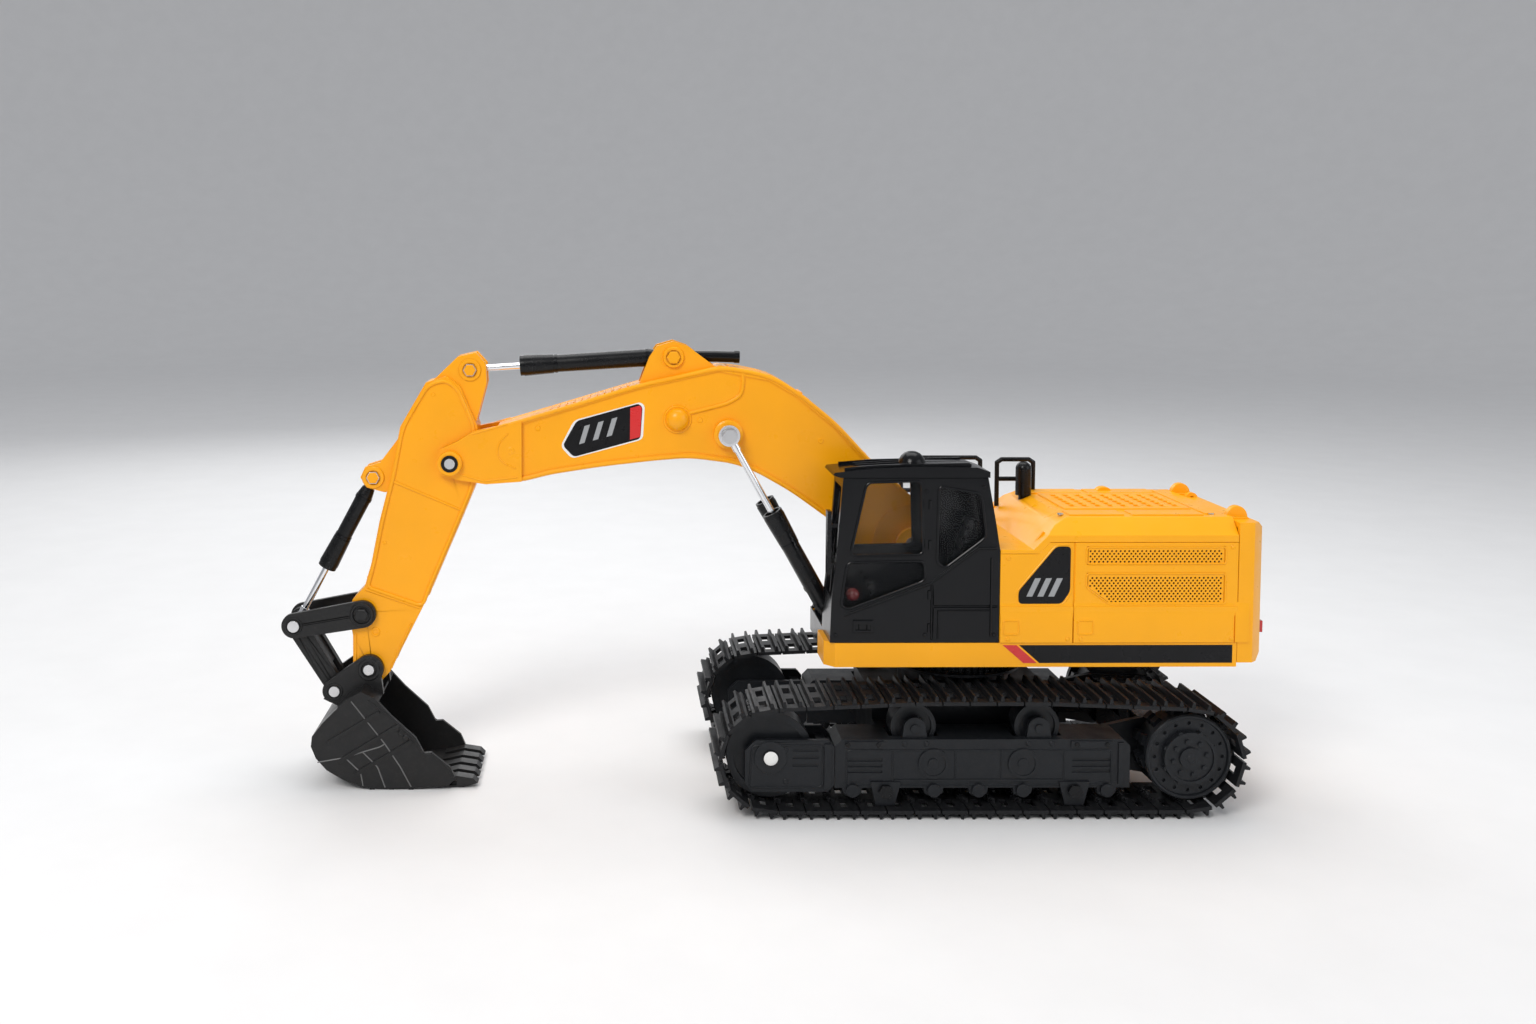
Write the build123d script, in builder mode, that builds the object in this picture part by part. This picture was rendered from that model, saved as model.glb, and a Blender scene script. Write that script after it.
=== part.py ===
"""Radio-controlled toy excavator: every moulded and metal piece is a separate part.

Frame in mm: X runs along the tracks (bucket at -X), Y across, Z up, tracks on Z = 0.
"""
import math
import os

from build123d import *

os.makedirs("parts", exist_ok=True)

# ---------------------------------------------------------------- tracks
SLEW_X = 122.0          # slewing axis
IDLER_X = -1.0
SPROCKET_X = 245.0
AXLE_Z = 34.8           # idler and sprocket axle height
CARRIERS_X = (84.5, 158.0)
CARRIER_Z = 50.6
CARRIER_R = 13.4
LINKS = 42
PITCH_R = 27.6          # pin line round idler and sprocket
LUG_R = 1.5
PIN_R = 0.8
BELT_Y = 55.0           # middle of one belt
SHOE_W = 42.0
WHEEL_R = 25.6
BEAM_X = (37.0, 211.0)
BEAM_Z = (16.0, 45.0)
BEAM_IN, BEAM_OUT, WALL = 42.0, 68.0, 2.5
ROLLERS_X = (47.4, 66.7, 95.3, 121.7, 147.8, 178.0, 197.4)
GUARDED_X = (66.7, 178.0)
ROLLER_Z, ROLLER_R = 14.8, 5.6

# ---------------------------------------------------------------- house
HALF_W = 56.0
DECK_X = (32.7, 278.0)
DECK_Z = (84.5, 99.0)
NOSE_X, TANK_NOSE = 37.0, 47.0   # front edge between the cylinders and on the right
HUB_R = 27.0
GEAR_TIP_R = 40.0
PINION_TIP_R = 6.0
PINION_X = SLEW_X + GEAR_TIP_R + PINION_TIP_R + 0.4
COVER_X = (136.4, 278.0)
COVER_TOP = 173.0
ROOF_FLAT = 44.0        # half width of the hollow under the flat of the engine cover
WEIGHT_X = (278.3, 299.0)
TAIL_LAMP_X = (295.4, 298.9)
CAB_Y = (-56.0, -25.8)
CAB_WALL = 2.2
FIT = 0.05              # radial running fit

# ---------------------------------------------------------------- arm pivots (X, Z)
BOOM_FOOT = (93.5, 149.5)
CYL_FOOT = (44.0, 101.0)
CYL_EYE = (-21.8, 218.5)
STICK_CYL_FOOT = (-55.7, 266.0)
STICK_PIVOT = (-194.4, 200.5)
STICK_CYL_EYE = (-182.4, 258.0)
BUCKET_CYL_FOOT = (-243.3, 190.5)
LEVER_PIVOT = (-250.0, 105.4)
BUCKET_PIVOT = (-245.9, 70.7)
LEVER_TIP = (-292.7, 98.1)
LINK_PIVOT = (-267.6, 57.0)
BOOM_HALF, STICK_HALF, BUCKET_HALF = 12.5, 11.0, 30.0
SHELL = 2.0             # moulded wall of boom and stick
BORE_R, ROD_R = 4.8, 2.1
HINGE_R = 2.5
CYL_Y = 20.0            # boom cylinders, each side


# ---------------------------------------------------------------- helpers
def prism(points, y0, y1, mode=Mode.ADD):
    """Side outline (X, Z) extruded from y0 to y1."""
    with BuildSketch(Plane.XZ.offset(-y1)) as outline:
        with BuildLine():
            Polyline(*points, close=True)
        make_face()
    extrude(outline.sketch, amount=y1 - y0, mode=mode)


def disc(centre, radius, y0, y1, mode=Mode.ADD):
    """Round boss, hole or pin along Y."""
    with BuildSketch(Plane.XZ.offset(-y1)) as circle:
        with Locations(centre):
            Circle(radius)
    extrude(circle.sketch, amount=y1 - y0, mode=mode)


def hexagon(centre, radius, y0, y1, mode=Mode.ADD):
    with BuildSketch(Plane.XZ.offset(-y1)) as outline:
        with Locations(centre):
            RegularPolygon(radius, 6)
    extrude(outline.sketch, amount=y1 - y0, mode=mode)


def slab(x0, x1, y0, y1, z0, z1, mode=Mode.ADD):
    with Locations(((x0 + x1) / 2, (y0 + y1) / 2, (z0 + z1) / 2)):
        Box(x1 - x0, y1 - y0, z1 - z0, mode=mode)


def post(x, y, radius, z0, z1, mode=Mode.ADD):
    with Locations((x, y, (z0 + z1) / 2)):
        Cylinder(radius, z1 - z0, mode=mode)


def strap(p, q, radius_p, radius_q, y0, y1, mode=Mode.ADD):
    """Plate with round ends between two pivots."""
    dx, dz = q[0] - p[0], q[1] - p[1]
    length = math.hypot(dx, dz)
    nx, nz = -dz / length, dx / length
    corners = [(c[0] + way * nx * r, c[1] + way * nz * r)
               for c, r, way in ((p, radius_p, 1), (q, radius_q, 1), (q, radius_q, -1), (p, radius_p, -1))]
    prism(corners, y0, y1, mode)
    disc(p, radius_p, y0, y1, mode)
    disc(q, radius_q, y0, y1, mode)


def rod_along(p, q, y, start, stop, radius, mode=Mode.ADD, radius_end=None):
    """Round bar on the line p-q, between two distances from p."""
    length = math.hypot(q[0] - p[0], q[1] - p[1])
    ux, uz = (q[0] - p[0]) / length, (q[1] - p[1]) / length
    plane = Plane(origin=(p[0] + ux * start, y, p[1] + uz * start), z_dir=(ux, 0, uz))
    with BuildSketch(plane) as section:
        Circle(radius)
    if radius_end is None:
        extrude(section.sketch, amount=stop - start, mode=mode)
    else:
        with BuildSketch(plane.offset(stop - start)) as far:
            Circle(radius_end)
        loft([section.sketch.face(), far.sketch.face()], mode=mode)


def mirrored(side, y0, y1):
    """Y range on the left (side = -1) or right (side = +1)."""
    return (y0, y1) if side > 0 else (-y1, -y0)


def write(builder, label):
    builder.part.label = label
    export_step(builder.part, "parts/" + label + ".step")


def hull(points):
    """Convex outline of a point cloud, counter-clockwise."""
    points = sorted(points)
    chains = []
    for run in (points, points[::-1]):
        chain = []
        for p in run:
            while len(chain) > 1 and ((chain[-1][0] - chain[-2][0]) * (p[1] - chain[-2][1])
                                      <= (chain[-1][1] - chain[-2][1]) * (p[0] - chain[-2][0])):
                chain.pop()
            chain.append(p)
        chains.append(chain[:-1])
    return chains[0] + chains[1]


def belt_pins():
    """Pin centres of one belt, evenly spaced along the pin line."""
    wheels = [(IDLER_X, AXLE_Z, PITCH_R), (SPROCKET_X, AXLE_Z, PITCH_R)]
    wheels += [(x, CARRIER_Z, CARRIER_R + LUG_R + 0.5) for x in CARRIERS_X]
    cloud = [(x + r * math.cos(math.radians(a)), z + r * math.sin(math.radians(a)))
             for x, z, r in wheels for a in range(360)]
    line = hull(cloud)
    line.append(line[0])
    steps = [math.dist(a, b) for a, b in zip(line, line[1:])]
    pitch = sum(steps) / LINKS
    pins, walked, target = [], 0.0, 0.0
    for (a, b), step in zip(zip(line, line[1:]), steps):
        while target <= walked + step and len(pins) < LINKS:
            t = (target - walked) / step
            pins.append((a[0] + (b[0] - a[0]) * t, a[1] + (b[1] - a[1]) * t))
            target += pitch
        walked += step
    return pins, pitch


PINS, PITCH = belt_pins()


# ================================================================ undercarriage
def track_frame(side):
    """Hollow side beam with carrier brackets, roller guards and the sprocket plate."""
    with BuildPart() as frame:
        prism([(37, 16), (211, 16), (211, 41), (207, 45), (41, 45), (37, 41)],
              *mirrored(side, BEAM_IN, BEAM_OUT))
        prism([(36, 15), (212, 15), (212, 38), (205, 41.5), (43, 41.5), (36, 38)],
              *mirrored(side, BEAM_IN + WALL, BEAM_OUT - WALL), mode=Mode.SUBTRACT)
        prism([(205, 20), (228, 16), (262, 22), (262, 48), (228, 50), (205, 45)],
              *mirrored(side, 41.0, BEAM_IN + WALL))
        disc((SPROCKET_X, AXLE_Z), 4.0 + FIT, *mirrored(side, 40, 46), mode=Mode.SUBTRACT)
        for x in CARRIERS_X:
            slab(x - 14.6, x + 14.6, *mirrored(side, 47, 61.8), 38, 46, mode=Mode.SUBTRACT)
            prism([(x - 8, 41.5), (x + 8, 41.5), (x + 6.5, CARRIER_Z), (x - 6.5, CARRIER_Z)],
                  *mirrored(side, 62.3, BEAM_OUT - WALL))
            disc((x, CARRIER_Z), 6.5, *mirrored(side, 62.3, BEAM_OUT - WALL))
            disc((x, CARRIER_Z), 2.5 + FIT, *mirrored(side, 60, 70), mode=Mode.SUBTRACT)
        for x in GUARDED_X:
            prism([(x - 9, 20), (x - 5.5, 6.0), (x + 5.5, 6.0), (x + 9, 20)],
                  *mirrored(side, BEAM_OUT - WALL, 69.5))
        for x0, x1 in ((44, 65), (177, 200)):
            for z in (25.0, 28.4, 31.8):
                slab(x0, x1, *mirrored(side, BEAM_OUT - 0.8, BEAM_OUT + 1), z, z + 1.9, mode=Mode.SUBTRACT)
            slab(x0 - 1, x1 + 1, *mirrored(side, 61, BEAM_OUT + 0.8), 40, 44)
        for x in (95.0, 148.0):
            disc((x, 30.6), 8.9, *mirrored(side, 66, BEAM_OUT + 1.0))
            disc((x, 30.6), 7.2, *mirrored(side, BEAM_OUT + 0.4, 71), mode=Mode.SUBTRACT)
            disc((x, 30.6), 3.2, *mirrored(side, 66, BEAM_OUT + 1.0))
        slab(204, 207, *mirrored(side, 66, BEAM_OUT + 1.0), 18, 43)
        slab(72, 172, *mirrored(side, 66, BEAM_OUT + 0.6), 20, 21.2)
        for x in ROLLERS_X:
            disc((x, ROLLER_Z), 2.0, *mirrored(side, 40, 68.2), mode=Mode.SUBTRACT)
    return frame


frame_left = track_frame(-1)
write(frame_left, "track_frame_left")
frame_right = track_frame(1)
write(frame_right, "track_frame_right")

with BuildPart() as chassis_frame:
    slab(66, 178, -30, 30, 26, 60)
    for x0, x1 in ((66, 90), (154, 178)):
        slab(x0, x1, -BEAM_IN, BEAM_IN, 24, 44)
    post(SLEW_X, 0, 33, 58, 74)
    post(SLEW_X, 0, 44, 74, 75.5)
    slab(69, 175, -27, 27, 28.5, 57, mode=Mode.SUBTRACT)
    for x0, x1 in ((69, 87), (157, 175)):
        slab(x0, x1, -39, 39, 22, 41, mode=Mode.SUBTRACT)
    post(SLEW_X, 0, HUB_R + 0.5, 55, 77, mode=Mode.SUBTRACT)
write(chassis_frame, "chassis_frame")

with BuildPart() as slew_ring_gear:
    post(SLEW_X, 0, 38.4, 75.5, 82.5)
    for i in range(60):
        angle = math.radians(i * 6)
        centre = (SLEW_X + 39.0 * math.cos(angle), 39.0 * math.sin(angle), 79)
        with Locations(Location(centre, (0, 0, i * 6))):
            Box(1.9, 2.0, 7)
    post(SLEW_X, 0, HUB_R + FIT, 75, 83, mode=Mode.SUBTRACT)
write(slew_ring_gear, "slew_ring_gear")

with BuildPart() as idler_yokes:
    for side in (-1, 1):
        plate = [(-12, 14), (33, 14), (36.6, 18), (36.6, 41), (33, 45), (-10, 45), (-16, 39), (-16, 20)]
        prism(plate, *mirrored(side, 66.2, 69))
        prism(plate, *mirrored(side, 41.0, 43.8))
        slab(28, 34, *mirrored(side, 41, 69), 19, 40)
        slab(34, 46, *mirrored(side, BEAM_IN + WALL + 0.2, BEAM_OUT - WALL - 0.2), 21, 38)
        slab(30.5, 34.5, *mirrored(side, 68.5, 70.2), 16, 43)
        disc((IDLER_X, AXLE_Z), 9.6, *mirrored(side, 68.5, 70))
        disc((IDLER_X, AXLE_Z), 4.5 + FIT, *mirrored(side, 40, 71), mode=Mode.SUBTRACT)
        for z in (39.0, 34.5, 30.0):
            slab(12, 27, *mirrored(side, 68.2, 70), z - 0.7, z + 0.7, mode=Mode.SUBTRACT)
write(idler_yokes, "idler_yokes")

with BuildPart() as shoe_pattern:
    slab(-7.5, 7.5, -SHOE_W / 2, SHOE_W / 2, 1.7, 3.9)
    for x in (-4.6, 4.6):
        with BuildSketch(Plane.XY.offset(3.9)) as grouser_foot:
            with Locations((x, 0)):
                Rectangle(2.6, SHOE_W - 1)
        with BuildSketch(Plane.XY.offset(7.2)) as grouser_tip:
            with Locations((x, 0)):
                Rectangle(1.4, SHOE_W - 1)
        loft([grouser_foot.sketch.face(), grouser_tip.sketch.face()])
    for y in (-9.6, 9.6):
        slab(-2.2, 2.2, y - 5, y + 5, 0, 8, mode=Mode.SUBTRACT)
    for sign, lugs in ((1, ((-5.0, -0.8), (0.8, 5.0))), (-1, ((-9.8, -5.6), (5.6, 9.8)))):
        for y0, y1 in lugs:
            disc((sign * PITCH / 2, 0), LUG_R, y0, y1)
            slab(*sorted((sign * 5.4, sign * 7.3)), y0, y1, -0.9, 2.0)
            slab(*sorted((sign * 7.0, sign * PITCH / 2)), y0, y1, -LUG_R, LUG_R)
            disc((sign * PITCH / 2, 0), PIN_R + 0.2, y0 - 1, y1 + 1, mode=Mode.SUBTRACT)


def shoe_places(side):
    """One place per link: middle of the chord between two pins, outward side away from the wheels."""
    places = []
    for a, b in zip(PINS, PINS[1:] + PINS[:1]):
        heading = math.degrees(math.atan2(b[1] - a[1], b[0] - a[0]))
        places.append(Location(((a[0] + b[0]) / 2, side * BELT_Y, (a[1] + b[1]) / 2), (180, heading, 0)))
    return places


for side, name in ((-1, "left"), (1, "right")):
    with BuildPart() as track_shoes:
        add([shoe_pattern.part.moved(place) for place in shoe_places(side)])
    write(track_shoes, "track_shoes_" + name)

with BuildPart() as track_pins:
    for side in (-1, 1):
        for pin in PINS:
            disc(pin, PIN_R, *mirrored(side, BELT_Y - 10.2, BELT_Y + 10.2))
write(track_pins, "track_pins")

with BuildPart() as bottom_rollers:
    for side in (-1, 1):
        for x in ROLLERS_X:
            disc((x, ROLLER_Z), ROLLER_R - 1.2, *mirrored(side, 45, 65))
            disc((x, ROLLER_Z), ROLLER_R, *mirrored(side, 46, 50))
            disc((x, ROLLER_Z), ROLLER_R, *mirrored(side, 60, 64))
            disc((x, ROLLER_Z), 1.9, *mirrored(side, 41.5, 68))
            if x not in GUARDED_X:
                disc((x, ROLLER_Z), 3.9, *mirrored(side, 68.2, 70))
                disc((x, ROLLER_Z), 1.9, *mirrored(side, 67.5, 69))
write(bottom_rollers, "bottom_rollers")

with BuildPart() as drive_motors:
    for side in (-1, 1):
        slab(226, 264, *mirrored(side, 27, 40.7), 21, 49)
        disc((SPROCKET_X, AXLE_Z), 10, *mirrored(side, 14, 27))
        slab(178.2, 226, *mirrored(side, 31, 40.7), 27, 41)
        disc((SPROCKET_X, AXLE_Z), 4.0 + FIT, *mirrored(side, 36, 42), mode=Mode.SUBTRACT)
write(drive_motors, "drive_motors")

with BuildPart() as chassis_screws:
    for side in (-1, 1):
        for x in GUARDED_X:
            hexagon((x, ROLLER_Z), 4.2, *mirrored(side, 69.5, 72.0))
        for x in (44.5, 62.5, 179.5, 197.5):
            disc((x, 42.0), 1.4, *mirrored(side, 68.8, 69.4))
    for x in (74, 170):
        for y in (-22, 22):
            post(x, y, 2.0, 22.8, 24.2)
write(chassis_screws, "chassis_screws")


# ================================================================ wheels
def sprocket(side):
    with BuildPart() as wheel:
        disc((SPROCKET_X, AXLE_Z), 21.8, *mirrored(side, 47, 63))
        disc((SPROCKET_X, AXLE_Z), 16.0, *mirrored(side, 62, 70), mode=Mode.SUBTRACT)
        disc((SPROCKET_X, AXLE_Z), 10.0, *mirrored(side, 47, 65.6))
        for i in range(11):
            a = math.radians(i * 360 / 11)
            tip, root, half = 25.6, 20.5, 0.105
            tooth = [(SPROCKET_X + r * math.cos(a + d), AXLE_Z + r * math.sin(a + d))
                     for r, d in ((root, -half * 1.7), (tip, -half), (tip, half), (root, half * 1.7))]
            for y0 in (48.0, 57.0):
                prism(tooth, *mirrored(side, y0, y0 + 5))
        disc((SPROCKET_X, AXLE_Z), 4.0, *mirrored(side, 38, 48))
    return wheel


def final_drive_cover(side):
    with BuildPart() as cover:
        disc((SPROCKET_X, AXLE_Z), 25.3, *mirrored(side, 65.8, 69.5))
        disc((SPROCKET_X, AXLE_Z), 23.4, *mirrored(side, 68.6, 71), mode=Mode.SUBTRACT)
        disc((SPROCKET_X, AXLE_Z), 15.5, *mirrored(side, 66, 72.5))
        disc((SPROCKET_X, AXLE_Z), 13.6, *mirrored(side, 71.6, 74), mode=Mode.SUBTRACT)
        disc((SPROCKET_X, AXLE_Z), 6.5, *mirrored(side, 70, 73.0))
        for i in range(16):
            a = math.radians(i * 22.5)
            disc((SPROCKET_X + 20 * math.cos(a), AXLE_Z + 20 * math.sin(a)), 1.1,
                 *mirrored(side, 67.2, 72), mode=Mode.SUBTRACT)
        for i in range(8):
            a = math.radians(i * 45 + 11)
            disc((SPROCKET_X + 10 * math.cos(a), AXLE_Z + 10 * math.sin(a)), 1.5, *mirrored(side, 71, 72.8))
    return cover


def idler(side):
    with BuildPart() as wheel:
        disc((IDLER_X, AXLE_Z), WHEEL_R, *mirrored(side, 46, 64))
        disc((IDLER_X, AXLE_Z), 21.5, *mirrored(side, 62, 65), mode=Mode.SUBTRACT)
        disc((IDLER_X, AXLE_Z), 21.5, *mirrored(side, 45, 48), mode=Mode.SUBTRACT)
        disc((IDLER_X, AXLE_Z), 9.0, *mirrored(side, 44.4, 65.8))
        disc((IDLER_X, AXLE_Z), 4.5, *mirrored(side, 40.6, 71.0))
    return wheel


def carrier(side, x):
    with BuildPart() as wheel:
        disc((x, CARRIER_Z), CARRIER_R, *mirrored(side, 48, 61))
        disc((x, CARRIER_Z), CARRIER_R - 2.6, *mirrored(side, 59.4, 62), mode=Mode.SUBTRACT)
        disc((x, CARRIER_Z), 5.0, *mirrored(side, 48, 61.9))
        disc((x, CARRIER_Z), 2.5, *mirrored(side, 47, 66.5))
    return wheel


for side, name in ((-1, "left"), (1, "right")):
    drive_sprocket = sprocket(side)
    write(drive_sprocket, "sprocket_" + name)
    drive_cover = final_drive_cover(side)
    write(drive_cover, "final_drive_cover_" + name)
    front_idler = idler(side)
    write(front_idler, "idler_" + name)
    for x, end in zip(CARRIERS_X, ("front", "rear")):
        carrier_wheel = carrier(side, x)
        write(carrier_wheel, "carrier_roller_" + end + "_" + name)

# ================================================================ house
with BuildPart() as turntable_deck:
    with BuildSketch(Plane.XY.offset(DECK_Z[0])) as deck_outline:
        with BuildLine():
            Polyline((DECK_X[0], -50), (DECK_X[0] + 6, -HALF_W), (DECK_X[1], -HALF_W), (DECK_X[1], HALF_W),
                     (TANK_NOSE + 6, HALF_W), (TANK_NOSE, 50), (TANK_NOSE, 27), (NOSE_X, 27), (NOSE_X, -27),
                     (DECK_X[0], -27), close=True)
        make_face()
    extrude(amount=DECK_Z[1] - DECK_Z[0])
    with BuildSketch(Plane.XY.offset(DECK_Z[0])) as deck_cavity:
        with BuildLine():
            Polyline((DECK_X[0] + 2.5, -49), (DECK_X[0] + 7, -53.5), (275.5, -53.5), (275.5, 53.5),
                     (TANK_NOSE + 7, 53.5), (TANK_NOSE + 2.5, 49), (TANK_NOSE + 2.5, 24.5), (NOSE_X + 2.5, 24.5),
                     (NOSE_X + 2.5, -29.5), (DECK_X[0] + 2.5, -29.5), close=True)
        make_face()
    extrude(amount=12.0, mode=Mode.SUBTRACT)
    slab(62, 262, -25, -22, 86, 97)
    slab(62, 262, 22, 25, 86, 97)
    post(SLEW_X, 0, 46, 84.5, 87.0)
    post(SLEW_X, 0, HUB_R, 73.8, 97)
    post(SLEW_X, 0, 6, 70, 100, mode=Mode.SUBTRACT)
    for side in (-1, 1):
        prism([(66, 98), (124, 98), (104, 150), (83, 150)], *mirrored(side, 13.4, 17.0))
        disc(BOOM_FOOT, 10.5, *mirrored(side, 13.4, 17.0))
        disc(BOOM_FOOT, HINGE_R + 0.5, *mirrored(side, 12, 18), mode=Mode.SUBTRACT)
        slab(NOSE_X - 1, 52, *mirrored(side, CYL_Y - 3.6, CYL_Y + 3.6), 92, 100, mode=Mode.SUBTRACT)
        slab(NOSE_X + 1, 54, *mirrored(side, CYL_Y - 5.6, CYL_Y - 3.6), 90, 97)
        slab(NOSE_X + 1, 54, *mirrored(side, CYL_Y + 3.6, CYL_Y + 5.4), 90, 97)
        slab(NOSE_X, 54, *mirrored(side, CYL_Y - 5.6, CYL_Y + 5.4), 89.5, 92)
        for y0, y1 in ((CYL_Y - 5.6, CYL_Y - 3.6), (CYL_Y + 3.6, CYL_Y + 5.4)):
            prism([(37, 98), (51, 98), (48, 105), (40, 105)], *mirrored(side, y0, y1))
        disc(CYL_FOOT, HINGE_R, *mirrored(side, CYL_Y - 6, CYL_Y + 6), mode=Mode.SUBTRACT)
    post(PINION_X, 0, 9.6, 83, 100, mode=Mode.SUBTRACT)
write(turntable_deck, "turntable_deck")

with BuildPart() as slew_motor:
    post(PINION_X, 0, 9.5, 84.8, 99)
    post(PINION_X, 0, 12.0, 99, 121)
    post(PINION_X, 0, 3.0, 121, 123)
    post(PINION_X, 0, 2.0 + FIT, 84, 92, mode=Mode.SUBTRACT)
write(slew_motor, "slew_motor")

with BuildPart() as slew_pinion:
    post(PINION_X, 0, 4.6, 76, 82.5)
    for i in range(10):
        angle = math.radians(i * 36)
        centre = (PINION_X + 4.95 * math.cos(angle), 4.95 * math.sin(angle), 79.25)
        with Locations(Location(centre, (0, 0, i * 36))):
            Box(2.0, 1.5, 6.5)
    post(PINION_X, 0, 2.0, 80, 91.8)
write(slew_pinion, "slew_pinion")


def side_cover(side):
    """Engine-bay side panel with a crease band and two perforated grille fields."""
    x0, x1 = COVER_X
    with BuildPart() as cover:
        prism([(x0, 99), (x1, 99), (x1, 159.2), (165.8, 159.2), (159, 152.4), (x0, 152.4)],
              *mirrored(side, HALF_W - 2.5, HALF_W))
        slab(x0, x0 + 2.4, *mirrored(side, 0.15, HALF_W - 2), 99, 152.4)
        prism([(x0, 115), (x1, 115), (x1, 121), (x0, 121)], *mirrored(side, HALF_W - 1, HALF_W + 0.7))
        for corners in (((188, 146), (270, 146), (270, 157), (188, 157)),
                        ((188, 132), (202, 122), (270, 122), (270, 141), (188, 141))):
            prism(corners, *mirrored(side, HALF_W - 0.9, HALF_W + 2), mode=Mode.SUBTRACT)
        slab(180.0, 180.9, *mirrored(side, HALF_W - 0.8, HALF_W + 2), 98, 160, mode=Mode.SUBTRACT)
        for a, b in ((139, 147), (183, 191.5)):
            slab(a, b, *mirrored(side, HALF_W - 1, HALF_W + 0.9), 105, 112)
            slab(a + 1, b - 1, *mirrored(side, HALF_W, HALF_W + 2), 106, 109, mode=Mode.SUBTRACT)
        for z in (126, 140):
            slab(x0 + 2, x0 + 12, *mirrored(side, HALF_W - 6, HALF_W - 2), z, z + 2)
    return cover


cover_left = side_cover(-1)
write(cover_left, "side_cover_left")
cover_right = side_cover(1)
write(cover_right, "side_cover_right")

with BuildPart() as engine_cover:
    prism([(136.4, 152.6), (136.4, 155), (156, 155), (170, 169), (178, COVER_TOP), (278, COVER_TOP),
           (278, 159.4), (166, 159.4), (159.2, 152.6)], -HALF_W, HALF_W)
    prism([(166.2, 159), (178.4, 170.4), (275.6, 170.4), (275.6, 159)], -ROOF_FLAT, ROOF_FLAT, mode=Mode.SUBTRACT)
    prism([(166.2, 159), (168.4, 161.4), (275.6, 161.4), (275.6, 159)], -HALF_W + 2.4, HALF_W - 2.4,
          mode=Mode.SUBTRACT)
    for side in (-1, 1):
        with BuildSketch(Plane.YZ.offset(135)) as bevel:
            with BuildLine():
                Polyline((side * 47, COVER_TOP + 1), (side * 47, COVER_TOP), (side * HALF_W, 163.5),
                         (side * 60, 163.5), (side * 60, COVER_TOP + 1), close=True)
            make_face()
        extrude(bevel.sketch, amount=145, mode=Mode.SUBTRACT)
    slab(184, 262, -26, 26, COVER_TOP - 1, COVER_TOP + 1.2)
    for x in range(190, 258, 8):
        slab(x, x + 3.4, -22, 22, COVER_TOP + 0.2, COVER_TOP + 2, mode=Mode.SUBTRACT)
    post(175, 27, 3.0 + FIT, 150, 180, mode=Mode.SUBTRACT)
write(engine_cover, "engine_cover")

with BuildPart() as counterweight:
    x0, x1 = WEIGHT_X
    with BuildSketch(Plane.XY.offset(87)) as weight_plan:
        with BuildLine():
            Polyline((x0, -HALF_W), (x0 + 9, -HALF_W), (x0 + 16, -50), (x1, -36), (x1, 36), (x0 + 16, 50),
                     (x0 + 9, HALF_W), (x0, HALF_W), close=True)
        make_face()
    extrude(amount=84)
    with BuildSketch(Plane.XZ.offset(60)) as weight_side:
        with BuildLine():
            Polyline((x0 + 12, 171.5), (x1 - 4, 167), (x1 + 1, 158), (x1 + 9, 158), (x1 + 9, 175), (x0 + 12, 175),
                     close=True)
        make_face()
        with BuildLine():
            Polyline((x0 + 12, 86), (x1 - 7, 88.5), (x1 - 1, 97), (x1 + 6, 97), (x1 + 6, 80), (x0 + 12, 80),
                     close=True)
        make_face()
    extrude(weight_side.sketch, amount=-120, mode=Mode.SUBTRACT)
    slab(x0 - 1, x0 + 8, -53, 53, 90, 167.5, mode=Mode.SUBTRACT)
    slab(x0 - 1, x1 - 5, -33, 33, 100, 150, mode=Mode.SUBTRACT)
    for y in (-30, 30):
        with Locations(Location((x0 + 8, y, 170), (90, 0, 0))):
            Cylinder(4.0, 3.0)
            Cylinder(1.6, 4.0, mode=Mode.SUBTRACT)
    for side in (-1, 1):
        slab(TAIL_LAMP_X[0] - 0.1, x1 + 2, *mirrored(side, 33.9, 44.6), 101.9, 109.1, mode=Mode.SUBTRACT)
write(counterweight, "counterweight")

with BuildPart() as lamp_lenses:
    for side in (-1, 1):
        slab(*TAIL_LAMP_X, *mirrored(side, 34, 44.5), 102, 109)
write(lamp_lenses, "lamp_lenses")

CAB_SIDE = [(35.4, 99.2), (36.2, 123.5), (39.5, 155), (42.6, 198.0), (128.6, 198.0), (133.8, 170),
            (136.2, 155), (136.2, 99.2)]
WINDOWS = [
    [(57, 194.5), (88.6, 195.5), (90, 153), (47.6, 152)],
    [(46, 147), (90.4, 148), (91, 136.5), (47, 120), (42.6, 122)],
    [(101, 192), (124, 188), (127, 163), (103.7, 145), (99, 148), (99.6, 190)],
]


def grown(points, amount):
    """Outline pushed outward from its middle."""
    cx = sum(p[0] for p in points) / len(points)
    cz = sum(p[1] for p in points) / len(points)
    result = []
    for x, z in points:
        length = math.hypot(x - cx, z - cz)
        result.append((x + (x - cx) / length * amount, z + (z - cz) / length * amount))
    return result


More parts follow.
